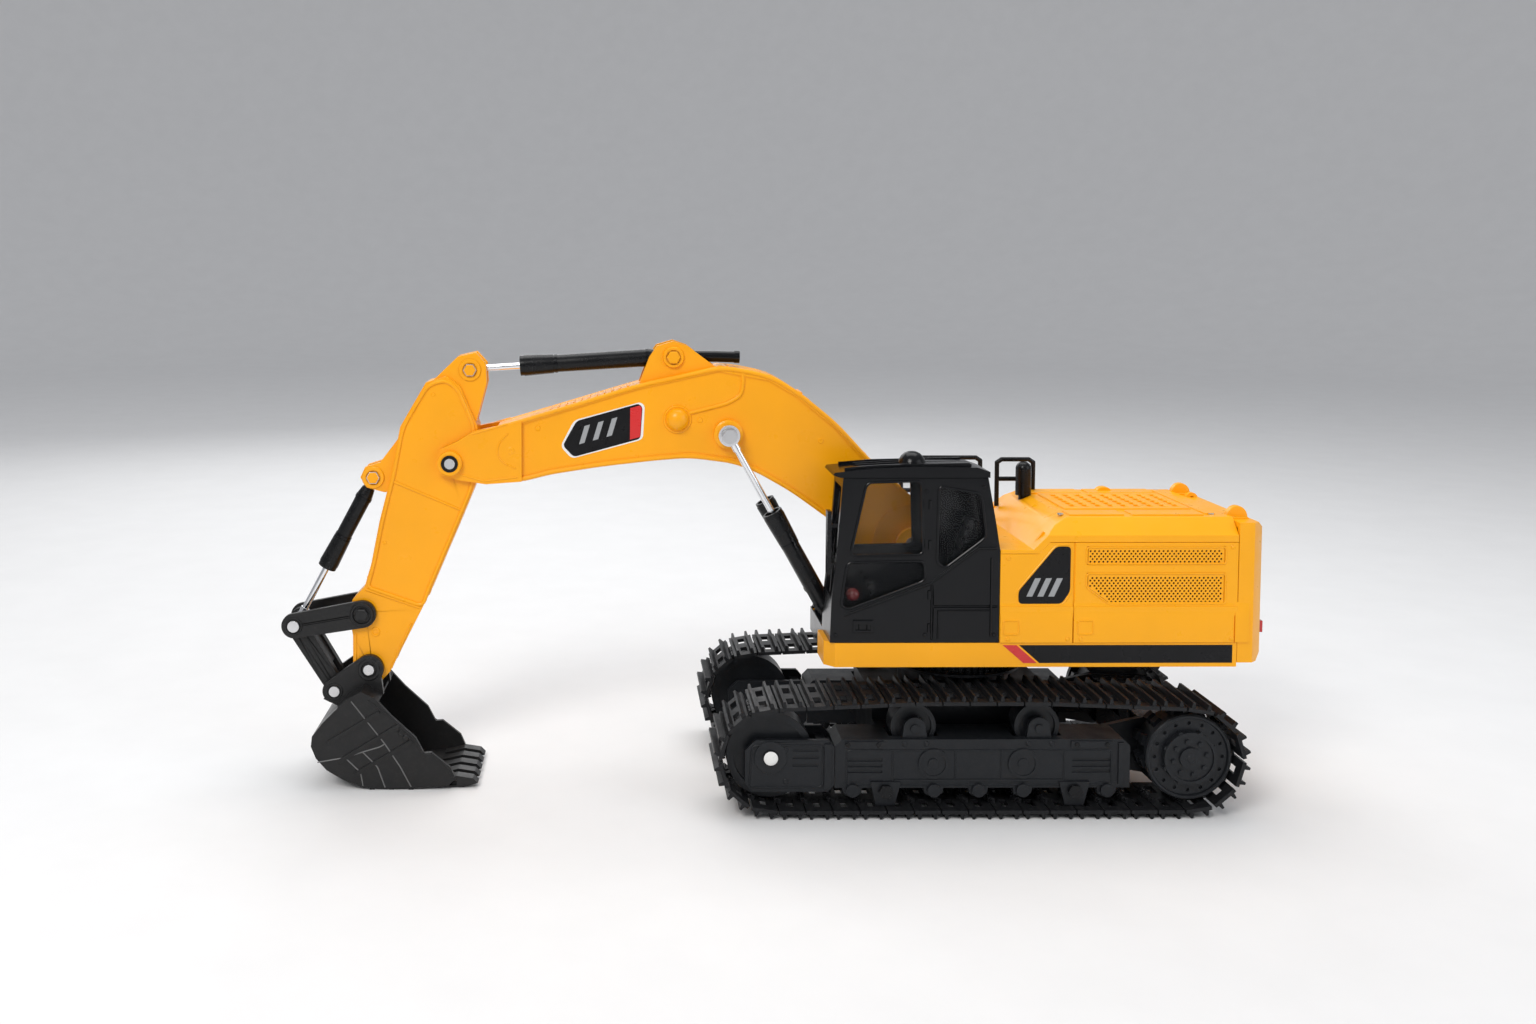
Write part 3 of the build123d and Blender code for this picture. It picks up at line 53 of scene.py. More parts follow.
# ------------------------------------------------------------------ materials
def surface(name, colour, rough, metallic=0.0, spread=0.06, rough_spread=0.08, grain=1400.0, bump=0.05,
            coat=0.0, alpha=1.0, specular=0.5, dust=0.0, dust_colour=(0.30, 0.29, 0.27), streak=1.0):
    """Moulded or metal finish: slow colour drift, mottled gloss, fine surface grain and settled dust."""
    made = bpy.data.materials.new(name)
    made.use_nodes = True
    tree = made.node_tree
    shader = tree.nodes["Principled BSDF"]
    place = tree.nodes.new("ShaderNodeTexCoord")
    stretch = tree.nodes.new("ShaderNodeMapping")
    stretch.inputs["Scale"].default_value = (streak, 1.0, 1.0)
    tree.links.new(place.outputs["Object"], stretch.inputs["Vector"])

    def noise(scale, detail, roughness=0.55):
        node = tree.nodes.new("ShaderNodeTexNoise")
        node.inputs["Scale"].default_value = scale
        node.inputs["Detail"].default_value = detail
        node.inputs["Roughness"].default_value = roughness
        tree.links.new(stretch.outputs["Vector"], node.inputs["Vector"])
        return node.outputs["Fac"]

    drift = tree.nodes.new("ShaderNodeValToRGB")
    low = [max(0.0, c * (1 - spread)) for c in colour]
    high = [min(1.0, c * (1 + spread)) for c in colour]
    drift.color_ramp.elements[0].position = 0.32
    drift.color_ramp.elements[0].color = (*low, 1)
    drift.color_ramp.elements[1].position = 0.68
    drift.color_ramp.elements[1].color = (*high, 1)
    tree.links.new(noise(18.0, 3.0), drift.inputs["Fac"])
    colour_out = drift.outputs["Color"]
    if dust > 0:
        up = tree.nodes.new("ShaderNodeNewGeometry")
        axis = tree.nodes.new("ShaderNodeSeparateXYZ")
        tree.links.new(up.outputs["Normal"], axis.inputs["Vector"])
        lie = tree.nodes.new("ShaderNodeMapRange")
        lie.inputs["From Min"].default_value = -0.1
        lie.inputs["From Max"].default_value = 1.0
        lie.inputs["To Min"].default_value = 0.25
        lie.inputs["To Max"].default_value = 1.0
        tree.links.new(axis.outputs["Z"], lie.inputs["Value"])
        specks = tree.nodes.new("ShaderNodeMapRange")
        specks.inputs["From Min"].default_value = 0.48
        specks.inputs["From Max"].default_value = 0.78
        specks.inputs["To Max"].default_value = dust
        tree.links.new(noise(420.0, 5.0, 0.7), specks.inputs["Value"])
        amount = tree.nodes.new("ShaderNodeMath")
        amount.operation = "MULTIPLY"
        tree.links.new(lie.outputs["Result"], amount.inputs[0])
        tree.links.new(specks.outputs["Result"], amount.inputs[1])
        settle = tree.nodes.new("ShaderNodeMix")
        settle.data_type = "RGBA"
        for socket in settle.inputs:
            if socket.name == "B" and socket.type == "RGBA":
                socket.default_value = (*dust_colour, 1)
            if socket.name == "A" and socket.type == "RGBA":
                tree.links.new(colour_out, socket)
            if socket.name == "Factor" and socket.type == "VALUE":
                tree.links.new(amount.outputs[0], socket)
        colour_out = [s for s in settle.outputs if s.type == "RGBA"][0]
    tree.links.new(colour_out, shader.inputs["Base Color"])

    gloss = tree.nodes.new("ShaderNodeMapRange")
    gloss.inputs["From Min"].default_value = 0.3
    gloss.inputs["From Max"].default_value = 0.7
    gloss.inputs["To Min"].default_value = max(0.02, rough - rough_spread)
    gloss.inputs["To Max"].default_value = min(1.0, rough + rough_spread)
    tree.links.new(noise(90.0, 4.0), gloss.inputs["Value"])
    tree.links.new(gloss.outputs["Result"], shader.inputs["Roughness"])

    relief = tree.nodes.new("ShaderNodeBump")
    relief.inputs["Strength"].default_value = bump
    relief.inputs["Distance"].default_value = 0.0004
    tree.links.new(noise(grain, 3.0), relief.inputs["Height"])
    tree.links.new(relief.outputs["Normal"], shader.inputs["Normal"])
    shader.inputs["Metallic"].default_value = metallic
    shader.inputs["Coat Weight"].default_value = coat
    shader.inputs["Specular IOR Level"].default_value = specular
    shader.inputs["Coat Roughness"].default_value = 0.12
    shader.inputs["Alpha"].default_value = alpha
    return made


YELLOW = surface("moulded_yellow", (0.97, 0.415, 0.0035), 0.34,
                 spread=0.03, coat=0.12, bump=0.06, specular=0.3)
ORANGE = surface("boom_yellow_paint", (0.95, 0.388, 0.0035), 0.33,
                 spread=0.035, coat=0.12, bump=0.08, specular=0.3)
GLOSS_BLACK = surface("gloss_black", (0.0040, 0.0044, 0.0055), 0.20,
                      rough_spread=0.03, coat=0.05, bump=0.02, specular=0.20)
TRACK_BLACK = surface("track_black", (0.0085, 0.0090, 0.0105), 0.44, bump=0.18, grain=900.0,
                      specular=0.26, dust=0.08)
FRAME_BLACK = surface("frame_black", (0.0100, 0.0115, 0.0140), 0.38, bump=0.14, grain=1100.0,
                      specular=0.26, dust=0.05)
BUCKET_BLACK = surface("bucket_black", (0.0120, 0.0120, 0.0125), 0.38, bump=0.12, specular=0.30, dust=0.08)
GLASS = surface("cab_pane", (0.05, 0.055, 0.06), 0.07, rough_spread=0.04, bump=0.0, alpha=0.06)
ROD = surface("bright_rod", (0.80, 0.81, 0.83), 0.17, metallic=1.0, spread=0.03, grain=2200.0, streak=0.15)
STEEL = surface("bolt_steel", (0.66, 0.66, 0.67), 0.30, metallic=1.0, spread=0.08, grain=2600.0, bump=0.10)
TRIM = surface("black_trim", (0.0055, 0.0058, 0.0066), 0.26, bump=0.08, specular=0.24, dust=0.02)
RED_LAMP = surface("red_lamp", (0.55, 0.010, 0.008), 0.16, coat=0.6, bump=0.03)
MAROON = surface("maroon_knob", (0.13, 0.006, 0.007), 0.24, coat=0.5)
CELL = surface("cell_wrap", (0.03, 0.10, 0.26), 0.30)
BOARD = surface("board_green", (0.010, 0.10, 0.035), 0.36, bump=0.2)
MOTOR = surface("motor_can", (0.55, 0.55, 0.57), 0.34, metallic=1.0)
GEAR = surface("gear_white", (0.72, 0.71, 0.66), 0.42)
DECAL_BLACK = surface("decal_black", (0.006, 0.006, 0.007), 0.30, coat=0.05, bump=0.03, specular=0.18)
DECAL_RED = surface("decal_red", (0.62, 0.012, 0.012), 0.30, coat=0.3, bump=0.03)
DECAL_WHITE = surface("decal_white", (0.80, 0.80, 0.79), 0.32, coat=0.3, bump=0.03)
DECAL_GREY = surface("decal_grey", (0.32, 0.33, 0.34), 0.32, coat=0.3, bump=0.03)
# Dark brown sheet behind the grille holes: painted shade standing in for the dark inside seen through them.
HOLE_SHADE = surface("grille_shadow", (0.030, 0.012, 0.003), 0.80, spread=0.2, bump=0.1)
# Light grey for the bucket's raised panel edges: a painted highlight along those edges.
EDGE_HIGHLIGHT = surface("edge_highlight_grey", (0.13, 0.13, 0.13), 0.45, spread=0.3, bump=0.1)
WHITE_PIN = surface("white_axle_cap", (0.82, 0.82, 0.80), 0.35, bump=0.05)

FINISH = {
    "yellow_shell": YELLOW, "boom_yellow": ORANGE, "black_shell": GLOSS_BLACK, "track_plastic": TRACK_BLACK,
    "frame_plastic": FRAME_BLACK, "bucket_plastic": BUCKET_BLACK, "smoked_glass": GLASS, "bright_rod": ROD,
    "bolt_steel": STEEL, "black_trim": TRIM, "lamp_red": RED_LAMP, "control_mix": TRIM, "cell_wrap": CELL,
    "board_green": BOARD, "motor_can": MOTOR, "gear_white": GEAR,
}
PLAIN_EDGES = ("track_pins", "track_shoes_left", "track_shoes_right", "cab_glazing", "battery_pack",
               "circuit_board", "slew_ring_gear", "slew_pinion")
EDGE_WIDTH = {"counterweight": 1.2, "engine_cover": 0.7, "side_cover_left": 0.4, "side_cover_right": 0.4,
              "turntable_deck": 0.5, "cab_shell": 0.5, "cab_roof": 0.7, "boom_shell_left": 0.5,
              "boom_shell_right": 0.5, "stick_shell_left": 0.5, "stick_shell_right": 0.5, "tank_cover": 0.7}

for name, node in nodes.items():
    for index, held in enumerate(node.data.materials):
        key = held.name.split(".")[0] if held else ""
        if key in FINISH:
            node.data.materials[index] = FINISH[key]
    weld = node.modifiers.new("Weld", "WELD")
    weld.merge_threshold = 0.000004
    if name not in PLAIN_EDGES:
        soft = node.modifiers.new("Edges", "BEVEL")
        soft.width = EDGE_WIDTH.get(name, 0.25) * MM
        soft.segments = 2
        soft.limit_method = "ANGLE"
        soft.angle_limit = math.radians(32)
        soft.use_clamp_overlap = True
        crisp = node.modifiers.new("Crisp", "EDGE_SPLIT")
        crisp.split_angle = math.radians(50)
        level = node.modifiers.new("Flats", "WEIGHTED_NORMAL")
        level.weight = 100
        node.data.shade_smooth()


# ------------------------------------------------------------------ mesh building
class Shape:
    """A mesh under construction, in millimetres."""

    def __init__(self):
        self.points, self.faces = [], []

    def add(self, points, faces):
        base = len(self.points)
        self.points += [tuple(p) for p in points]
        self.faces += [[base + i for i in f] for f in faces]
        return self

    def prism(self, outline, y0, y1):
        n = len(outline)
        points = [(x, y0, z) for x, z in outline] + [(x, y1, z) for x, z in outline]
        faces = [list(range(n)), list(range(2 * n - 1, n - 1, -1))]
        faces += [[i, (i + 1) % n, n + (i + 1) % n, n + i] for i in range(n)]
        return self.add(points, faces)

    def block(self, x0, x1, y0, y1, z0, z1):
        return self.prism([(x0, z0), (x1, z0), (x1, z1), (x0, z1)], y0, y1)

    def disc(self, c, r, y0, y1, n=36, turn=0.0):
        turns = [turn + 2 * math.pi * i / n for i in range(n)]
        ring = [(c[0] + r * math.cos(a), c[1] + r * math.sin(a)) for a in turns]
        return self.prism(ring, y0, y1)

    def turned(self, c, profile, n=40, side=-1):
        """Solid of revolution about a Y axis at c; profile holds (radius, distance out from the middle)."""
        points, faces = [], []
        for i in range(n):
            a = 2 * math.pi * i / n
            points += [(c[0] + r * math.cos(a), side * y, c[1] + r * math.sin(a)) for r, y in profile]
        m = len(profile)
        for i in range(n):
            for j in range(m - 1):
                a, b = i * m + j, ((i + 1) % n) * m + j
                faces.append([a, b, b + 1, a + 1])
        return self.add(points, faces)

    def tube(self, path, radius, n=10, closed=False):
        """Round bead through 3-D points, with a constant cross-section."""
        path = [Vector(p) for p in path]
        count = len(path)
        points, faces = [], []
        for k, p in enumerate(path):
            before = path[k - 1] if (k or closed) else p
            after = path[(k + 1) % count] if (k < count - 1 or closed) else p
            along = (after - before).normalized()
            first = along.cross(Vector((0, 1, 0)))
            if first.length < 1e-3:
                first = along.cross(Vector((0, 0, 1)))
            first.normalize()
            second = along.cross(first)
            for i in range(n):
                a = 2 * math.pi * i / n
                points.append(p + (first * math.cos(a) + second * math.sin(a)) * radius)
        spans = count if closed else count - 1
        for k in range(spans):
            for i in range(n):
                a, b = k * n, ((k + 1) % count) * n
                faces.append([a + i, a + (i + 1) % n, b + (i + 1) % n, b + i])
        if not closed:
            faces += [list(range(n)), list(range((count - 1) * n, count * n))]
        return self.add(points, faces)


def rounded(points, radius, closed=True, steps=4):
    """The same line with its corners rounded."""
    result, count = [], len(points)
    for i, p in enumerate(points):
        p = Vector(p)
        if not closed and i in (0, count - 1):
            result.append(tuple(p))
            continue
        a, b = Vector(points[i - 1]), Vector(points[(i + 1) % count])
        cut = min(radius, (a - p).length * 0.45, (b - p).length * 0.45)
        start, end = p + (a - p).normalized() * cut, p + (b - p).normalized() * cut
        for s in range(steps + 1):
            t = s / steps
            result.append(tuple(start * (1 - t) ** 2 + p * 2 * t * (1 - t) + end * t ** 2))
    return result


def inset(points, amount):
    """Outline moved towards its middle."""
    cx = sum(p[0] for p in points) / len(points)
    cz = sum(p[1] for p in points) / len(points)
    moved = []
    for x, z in points:
        far = math.hypot(x - cx, z - cz)
        moved.append((x - (x - cx) / far * amount, z - (z - cz) / far * amount))
    return moved


def put(shape, name, body, finish, edge=0.0, angle=35.0):
    """Makes the object, gives it its finish and hangs it on a CAD body."""
    mesh = bpy.data.meshes.new(name)
    mesh.from_pydata([[c * MM for c in p] for p in shape.points], [], shape.faces)
    work = bmesh.new()
    work.from_mesh(mesh)
    bmesh.ops.recalc_face_normals(work, faces=work.faces)
    work.to_mesh(mesh)
    work.free()
    mesh.shade_smooth()
    piece = bpy.data.objects.new(name, mesh)
    bpy.context.scene.collection.objects.link(piece)
    mesh.materials.append(finish)
    if edge:
        soft = piece.modifiers.new("Edges", "BEVEL")
        soft.width = edge * MM
        soft.segments = 2
        soft.limit_method = "ANGLE"
        soft.angle_limit = math.radians(angle)
        soft.harden_normals = True
    else:
        mesh.set_sharp_from_angle(angle=math.radians(angle))
    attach(piece, body)
    return piece


def both(build, name, body, finish, edge=0.0):
    """The same piece on the left and on the right; build(shape, side) fills each."""
    for side, label in ((-1, "left"), (1, "right")):
        shape = Shape()
        build(shape, side)
        put(shape, name + "_" + label, body, finish, edge)


def out(side, y0, y1):
    return (side * y0, side * y1)


def bead(shape, side, line, y, radius, closed=False):
    """Round bead along a line of (X, Z) points, at a distance y out from the middle."""
    return shape.tube([(x, side * y, z) for x, z in line], radius, closed=closed)


def arch(x, z, width, height):
    """Upper half of an ellipse round (x, z)."""
    turns = [math.radians(a) for a in range(0, 181, 15)]
    return [(x + width * math.cos(a), z + height * math.sin(a)) for a in turns]


def perforated(outline, y_face, y_back, pitch, row_step, hole, side):
    """Plate with staggered round holes, and a dark sheet behind them: painted shade seen through the holes.
    """
    flat = [Vector(p) for p in outline]
    xs, zs = [p[0] for p in outline], [p[1] for p in outline]

    def inside(x, z, margin):
        for a, b in zip(flat, flat[1:] + flat[:1]):
            edge = b - a
            if (edge.x * (z - a.y) - edge.y * (x - a.x)) / edge.length < margin:
                return False
        return True

    centres, row, z = [], 0, min(zs) + hole + 0.5
    while z < max(zs) - hole - 0.3:
        x = min(xs) + hole + 0.6 + (pitch / 2 if row % 2 else 0)
        while x < max(xs) - hole - 0.3:
            if inside(x, z, hole + 0.35):
                centres.append((x, z))
            x += pitch
        row += 1
        z += pitch * row_step
    points, loops = list(flat), [list(range(len(flat)))]
    count = 10
    turns = [2 * math.pi * i / count for i in range(count)]
    for cx, cz in centres:
        base = len(points)
        points += [Vector((cx + hole * math.cos(a), cz + hole * math.sin(a))) for a in turns]
        loops.append(list(range(base, base + count)))
    flattened = geometry.delaunay_2d_cdt(points, [], loops, 1, 1e-6)
    made, triangles, owners = flattened[0], flattened[2], flattened[5]
    plate = Shape()
    plate.add([(p.x, side * y_face, p.y) for p in made],
              [list(t) for t, own in zip(triangles, owners) if list(own) == [0]])
    for loop in loops[1:]:
        ring = [points[i] for i in loop]
        plate.add([(p.x, side * y_face, p.y) for p in ring] + [(p.x, side * y_back, p.y) for p in ring],
                  [[i, (i + 1) % count, count + (i + 1) % count, count + i] for i in range(count)])
    edge = len(flat)
    plate.add([(p.x, side * y_face, p.y) for p in flat] + [(p.x, side * y_back, p.y) for p in flat],
              [[i, (i + 1) % edge, edge + (i + 1) % edge, edge + i] for i in range(edge)])
    # The sheet behind the holes is painted shade.
    dark = Shape().prism(outline, *out(side, y_back - 0.04, y_back))
    return plate, dark


# ------------------------------------------------------------------ house
GRILLE_PITCH, GRILLE_ROW_STEP, GRILLE_HOLE = 2.55, 0.62, 0.66
GRILLE_FACE, GRILLE_BACK = HOUSE_Y - 0.1, HOUSE_Y - 0.8
UPPER_GRILLE = [(188.6, 146.6), (269.4, 146.6), (269.4, 156.4), (188.6, 156.4)]
LOWER_GRILLE = [(188.7, 132.4), (202.3, 122.6), (269.4, 122.6), (269.4, 140.4), (188.7, 140.4)]
for side, label in ((-1, "left"), (1, "right")):
    for outline, row in ((UPPER_GRILLE, "upper"), (LOWER_GRILLE, "lower")):
        plate, dark = perforated(outline, GRILLE_FACE, GRILLE_BACK, GRILLE_PITCH, GRILLE_ROW_STEP,
                                 GRILLE_HOLE, side)
        put(plate, f"grille_{row}_{label}", "house", YELLOW)
        put(dark, f"grille_shadow_{row}_{label}", "house", HOLE_SHADE)


def grille_frames(shape, side):
    for outline in (UPPER_GRILLE, LOWER_GRILLE):
        line = rounded(inset(outline, -1.0), 2.0)
        bead(shape, side, line, HOUSE_Y, 0.55, closed=True)


both(grille_frames, "grille_frame", "house", YELLOW)


SKIRT_LOW, SKIRT_TOP = 86.9, 97.7


def skirt_band(shape, side):
    outline = [(160.4, SKIRT_LOW), (275.4, SKIRT_LOW), (275.4, SKIRT_TOP), (148.2, SKIRT_TOP)]
    shape.prism(outline, *out(side, HOUSE_Y, HOUSE_Y + 0.12))


def skirt_flash(shape, side):
    outline = [(150.8, SKIRT_LOW), (158.9, SKIRT_LOW), (146.6, SKIRT_TOP), (138.4, SKIRT_TOP)]
    shape.prism(outline, *out(side, HOUSE_Y, HOUSE_Y + 0.18))


both(skirt_band, "skirt_band", "house", DECAL_BLACK)
both(skirt_flash, "skirt_flash", "house", DECAL_RED)

SIDE_FIELD = [(169.5, 157), (178, 157), (178, 130), (173, 122.6), (147.4, 122.6), (147.2, 130)]


def side_decal(shape, side):
    shape.prism(rounded(SIDE_FIELD, 2.5), *out(side, HOUSE_Y, HOUSE_Y + 0.14))


def side_bars(shape, side):
    for x in (156.0, 162.5, 169.0):
        outline = [(x - 4, 127), (x - 0.5, 127), (x + 4.5, 138), (x + 1, 138)]
        shape.prism(outline, *out(side, HOUSE_Y + 0.1, HOUSE_Y + 0.22))


def side_decal_rim(shape, side):
    line = rounded(inset(SIDE_FIELD, -1.2), 3.2)
    bead(shape, side, line, HOUSE_Y - 0.25, 0.6, closed=True)


both(side_decal, "side_decal", "house", DECAL_BLACK)
both(side_decal_rim, "side_decal_rim", "house", YELLOW)
both(side_bars, "side_decal_bars", "house", DECAL_GREY)

# The lower side panels stand this far out, below a short slope
FLARE, FLARE_TOP, FLARE_SLOPE_END, FLARE_LOW = 0.95, 123.6, 116.2, 99.4


def lower_flare(shape, side):
    inner, outer = HOUSE_Y - 0.1, HOUSE_Y + FLARE
    section = [(inner, FLARE_TOP), (outer, FLARE_SLOPE_END), (outer, FLARE_LOW), (inner, FLARE_LOW)]
    for x0, x1 in ((136.6, 179.5), (180.3, 275.6), (276.4, 284.6)):
        shape.add([(x, side * y, z) for x in (x0, x1) for y, z in section],
                  [[0, 1, 2, 3], [4, 5, 6, 7]] + [[i, (i + 1) % 4, 4 + (i + 1) % 4, 4 + i] for i in range(4)])


both(lower_flare, "lower_side_flare", "house", YELLOW)


def latch_details(shape, side):
    for x in (143.0, 187.25):
        line = rounded([(x - 4.6, 104.4), (x + 4.6, 104.4), (x + 4.6, 112.6), (x - 4.6, 112.6)], 1.2)
        bead(shape, side, line, HOUSE_Y + FLARE, 0.45, closed=True)
    for x, z in ((141, 150), (141, 101.6), (176.6, 101.6), (184.5, 101.6), (274.5, 101.6), (274.5, 156.6)):
        face = HOUSE_Y + (FLARE if z < FLARE_SLOPE_END else 0)
        profile = [(0, face + 0.5), (1.0, face + 0.5), (1.3, face + 0.2), (1.3, face - 0.2)]
        shape.turned((x, z), profile, n=16, side=side)


both(latch_details, "cover_details", "house", YELLOW)

roof_top = Shape()
for y0, y1 in ((30, 44), (-44, -30)):
    for x0, x1 in ((181, 214), (219, 262)):
        roof_top.block(x0, x1, y0, y1, 172.8, 173.9)
roof_top.block(264.5, 270.5, -40, 40, 172.8, 173.8)
for y in range(-21, 22, 7):
    roof_top.block(186.5, 259.5, y - 0.5, y + 0.5, 173.2, 174.3)
for y0, y1 in ((-49, -46.4), (46.4, 49)):
    roof_top.prism([(157, 155), (161, 155), (166.5, 163.5), (163.5, 164.5)], y0, y1)
put(roof_top, "engine_cover_details", "house", YELLOW, edge=0.3)

eyes = Shape()
for y in (-40.0, 40.0):
    eyes.prism(arch(283, 171.2, 6.4, 7.4), y - 2.2, y + 2.2)
    eyes.prism([(275.8, 170.6), (290.2, 170.6), (288.6, 172.2), (277.4, 172.2)], y - 4.0, y + 4.0)
eyes.prism(arch(232, 173.0, 5.0, 3.2), 37.5, 43.0)
put(eyes, "lifting_eyes", "house", YELLOW, edge=0.5)

weight_trim = Shape()
for z in (118.0, 134.0, 150.0):
    weight_trim.tube([(297.9, -34, z), (298.4, -30, z), (298.4, 30, z), (297.9, 34, z)], 0.5)
put(weight_trim, "counterweight_ribs", "house", YELLOW)

# The two door panes and the rear side pane; only the first has a frame on the boom's side
WINDOWS = [
    [(57, 194.5), (88.6, 195.5), (90, 153), (47.6, 152)],
    [(46, 147), (90.4, 148), (91, 136.5), (47, 120), (42.6, 122)],
    [(101, 192), (124, 188), (127, 163), (103.7, 145), (99, 148), (99.6, 190)],
]


def window_frames(shape, side):
    for window in WINDOWS if side < 0 else WINDOWS[:1]:
        line = rounded(inset(window, -0.9), 4.0)
        y, bead = (-CAB_Y, 0.85) if side < 0 else (-26.7, 0.5)
        shape.tube([(x, y, z) for x, z in line], bead, closed=True)


both(window_frames, "cab_window_frame", "house", GLOSS_BLACK)

cab_trim = Shape()
for z in (182.0, 158.0, 128.0, 108.0):
    bead(cab_trim, -1, [(94.2, z - 2.6), (94.2, z + 2.6)], 56.4, 0.9)
handle = [(52.6, 106.4), (57.4, 106.4), (57.4, 111.6), (52.6, 111.6)]
bead(cab_trim, -1, handle, 56.6, 0.5, closed=True)
bead(cab_trim, -1, [(131.0, 103), (131.0, 150)], 56.6, 0.45)
bead(cab_trim, -1, [(99.5, 101.5), (99.5, 118.6), (131.0, 118.6)], 56.5, 0.4)
for x, z in ((126, 192.5), (38.8, 104), (92, 104), (133, 104), (92, 190)):
    cab_trim.turned((x, z), [(0, 56.7), (0.9, 56.7), (1.2, 56.4), (1.2, 55.8)], n=14)
put(cab_trim, "cab_door_trim", "house", GLOSS_BLACK)

wiper = Shape()
wiper.tube([(38.0, -41, 126), (38.6, -44, 140), (40.4, -46, 158), (41.6, -47, 172)], 0.6)
wiper.tube([(39.0, -47, 150), (42.6, -47, 188)], 0.8)
put(wiper, "cab_wiper", "house", TRIM)

roof_trim = Shape()
for y in (-48.0, -41.0, -34.0):
    roof_trim.tube([(52, y, 203.4), (84, y, 205.2), (120, y, 204.9)], 0.6)

# Turned about a Y axis, then stood upright on the roof
HORN = (86.4, -41, 203.6)
dome = Shape()
bell = [(0.01, 8.2), (2.4, 8.0), (4.6, 7.1), (6.4, 5.4), (7.7, 3.2), (8.4, 0.8), (9.2, 0.4), (9.2, -0.6)]
dome.turned((0.0, 0.0), bell, n=40, side=1)
dome.points = [(HORN[0] + x, HORN[1] + z, HORN[2] + y) for x, y, z in dome.points]
put(dome, "cab_roof_horn", "house", GLOSS_BLACK)
put(roof_trim, "cab_roof_trim", "house", GLOSS_BLACK, edge=0.2)

KNOB_R, KNOB_Y = 4.3, -46.9
knob = Shape()
turns = [math.pi * i / 12 for i in range(13)]
ball = [(max(KNOB_R * math.sin(a), 0.001), -KNOB_R * math.cos(a)) for a in turns]
knob.turned((50.4, 126.0), ball, n=24, side=1)
knob.points = [(x, y + KNOB_Y, z) for x, y, z in knob.points]
put(knob, "cab_round_knob", "house", MAROON)

nose = Shape()
nose.prism([(36.4, 84.3), (36.95, 84.3), (36.95, 99.2), (36.4, 99.2)], -26.9, 27.2)
nose.prism([(46.4, 84.3), (46.95, 84.3), (46.95, 99.2), (46.4, 99.2)], 27.2, 50.0)
for y0, y1 in ((-26.4, -25.5), (-14.4, 14.4), (25.5, 26.8)):
    nose.block(36.5, 66.0, y0, y1, 99.0, 99.5)
for side in (-1, 1):
    for y0, y1 in ((14.1, 14.4), (16.5, 16.7), (23.3, 23.5), (25.5, 25.8)):
        nose.prism([(36.8, 98.9), (51.2, 98.9), (48.2, 105.4), (39.8, 105.4)], *out(side, y0, y1))
put(nose, "deck_nose_cover", "house", GLOSS_BLACK)

# ------------------------------------------------------------------ boom
BOOM_TOP = [(-163, 222.6), (-137.5, 230.2), (-76.9, 248.5), (-26.8, 259.5), (-12.2, 257.6), (4.2, 254.0),
            (21.4, 243.7), (45.3, 224.2), (67.0, 200.4), (85.0, 184.8)]
BOOM_LOW = [(43.0, 165.7), (17.8, 183.8), (-3.4, 195.8), (-18.3, 201.4), (-45.6, 205.0), (-68.2, 203.2),
            (-100.7, 199.5), (-133.0, 194.5), (-148.2, 190.4), (-163, 189.2)]


def boom_beads(shape, side):
    for line in (BOOM_TOP, BOOM_LOW):
        soft = rounded(line, 9.0, closed=False)
        bead(shape, side, soft, BOOM_Y + 0.25, 1.5)


both(boom_beads, "boom_rim_bead", "boom", ORANGE)


BOOM_DOME = (-53.3, 227.6)
DOME_R, DOME_HEIGHT = 7.4, 6.6
FORK_Y = 15.0


def boom_marks(shape, side):
    y = BOOM_Y
    turns = [math.radians(a) for a in range(90, -1, -10)]
    cap = [(DOME_R * math.cos(a) + 0.01, y + DOME_HEIGHT * math.sin(a)) for a in turns]
    shape.turned(BOOM_DOME, cap, side=side)
    shape.turned(BOOM_DOME, [(7.2, y + 0.6), (7.8, y + 1.2), (8.6, y + 1.0), (9.0, y)], side=side)
    ridge = [(-45.9, 231.4), (-22.0, 237.4), (-13.6, 242.6), (-12.4, 250.5), (-12.8, 257.0)]
    bead(shape, side, rounded(ridge, 6.0, closed=False), y, 1.25)
    for x, z in ((-39.2, 227.0), (-140, 222), (36, 214)):
        shape.turned((x, z), [(0.01, y + 0.3), (0.9, y + 0.5), (1.4, y + 0.5), (1.7, y)], n=18, side=side)
    shape.turned(CYL_EYE, [(5.2, 16.25), (6.0, 16.9), (7.8, 16.9), (8.9, 16.2), (8.9, 12.0)], side=side)
    tip = [(5.3, 16.4), (5.3, 18.3), (5.9, 18.9), (6.9, 18.9), (7.7, 18.2), (7.9, FORK_Y)]
    shape.turned(STICK_PIVOT, tip, side=side)
    arc = [(-158.3, 219.1), (-164.0, 213.5), (-165.4, 207.0), (-162.5, 201.4), (-153.5, 197.3)]
    bead(shape, side, rounded(arc, 5.0, closed=False), FORK_Y + 0.1, 0.55)
    for line in ([(-181.0, 218.6), (-158.8, 225.0)], [(-187.5, 193.4), (-173.4, 189.4), (-152.7, 191.9)]):
        bead(shape, side, line, FORK_Y, 0.7)
    dot = [(0.01, 14.9), (0.8, 15.4), (1.8, 15.5), (2.4, 15.2), (2.6, 14.6)]
    shape.turned((-156.6, 208.3), dot, n=20, side=side)


both(boom_marks, "boom_mouldings", "boom", ORANGE)


def tip_recess(shape, side):
    shape.turned(STICK_PIVOT, [(3.3, 18.5), (3.5, 18.35), (5.4, 18.3)], side=side)


both(tip_recess, "boom_tip_recess", "boom", TRIM)

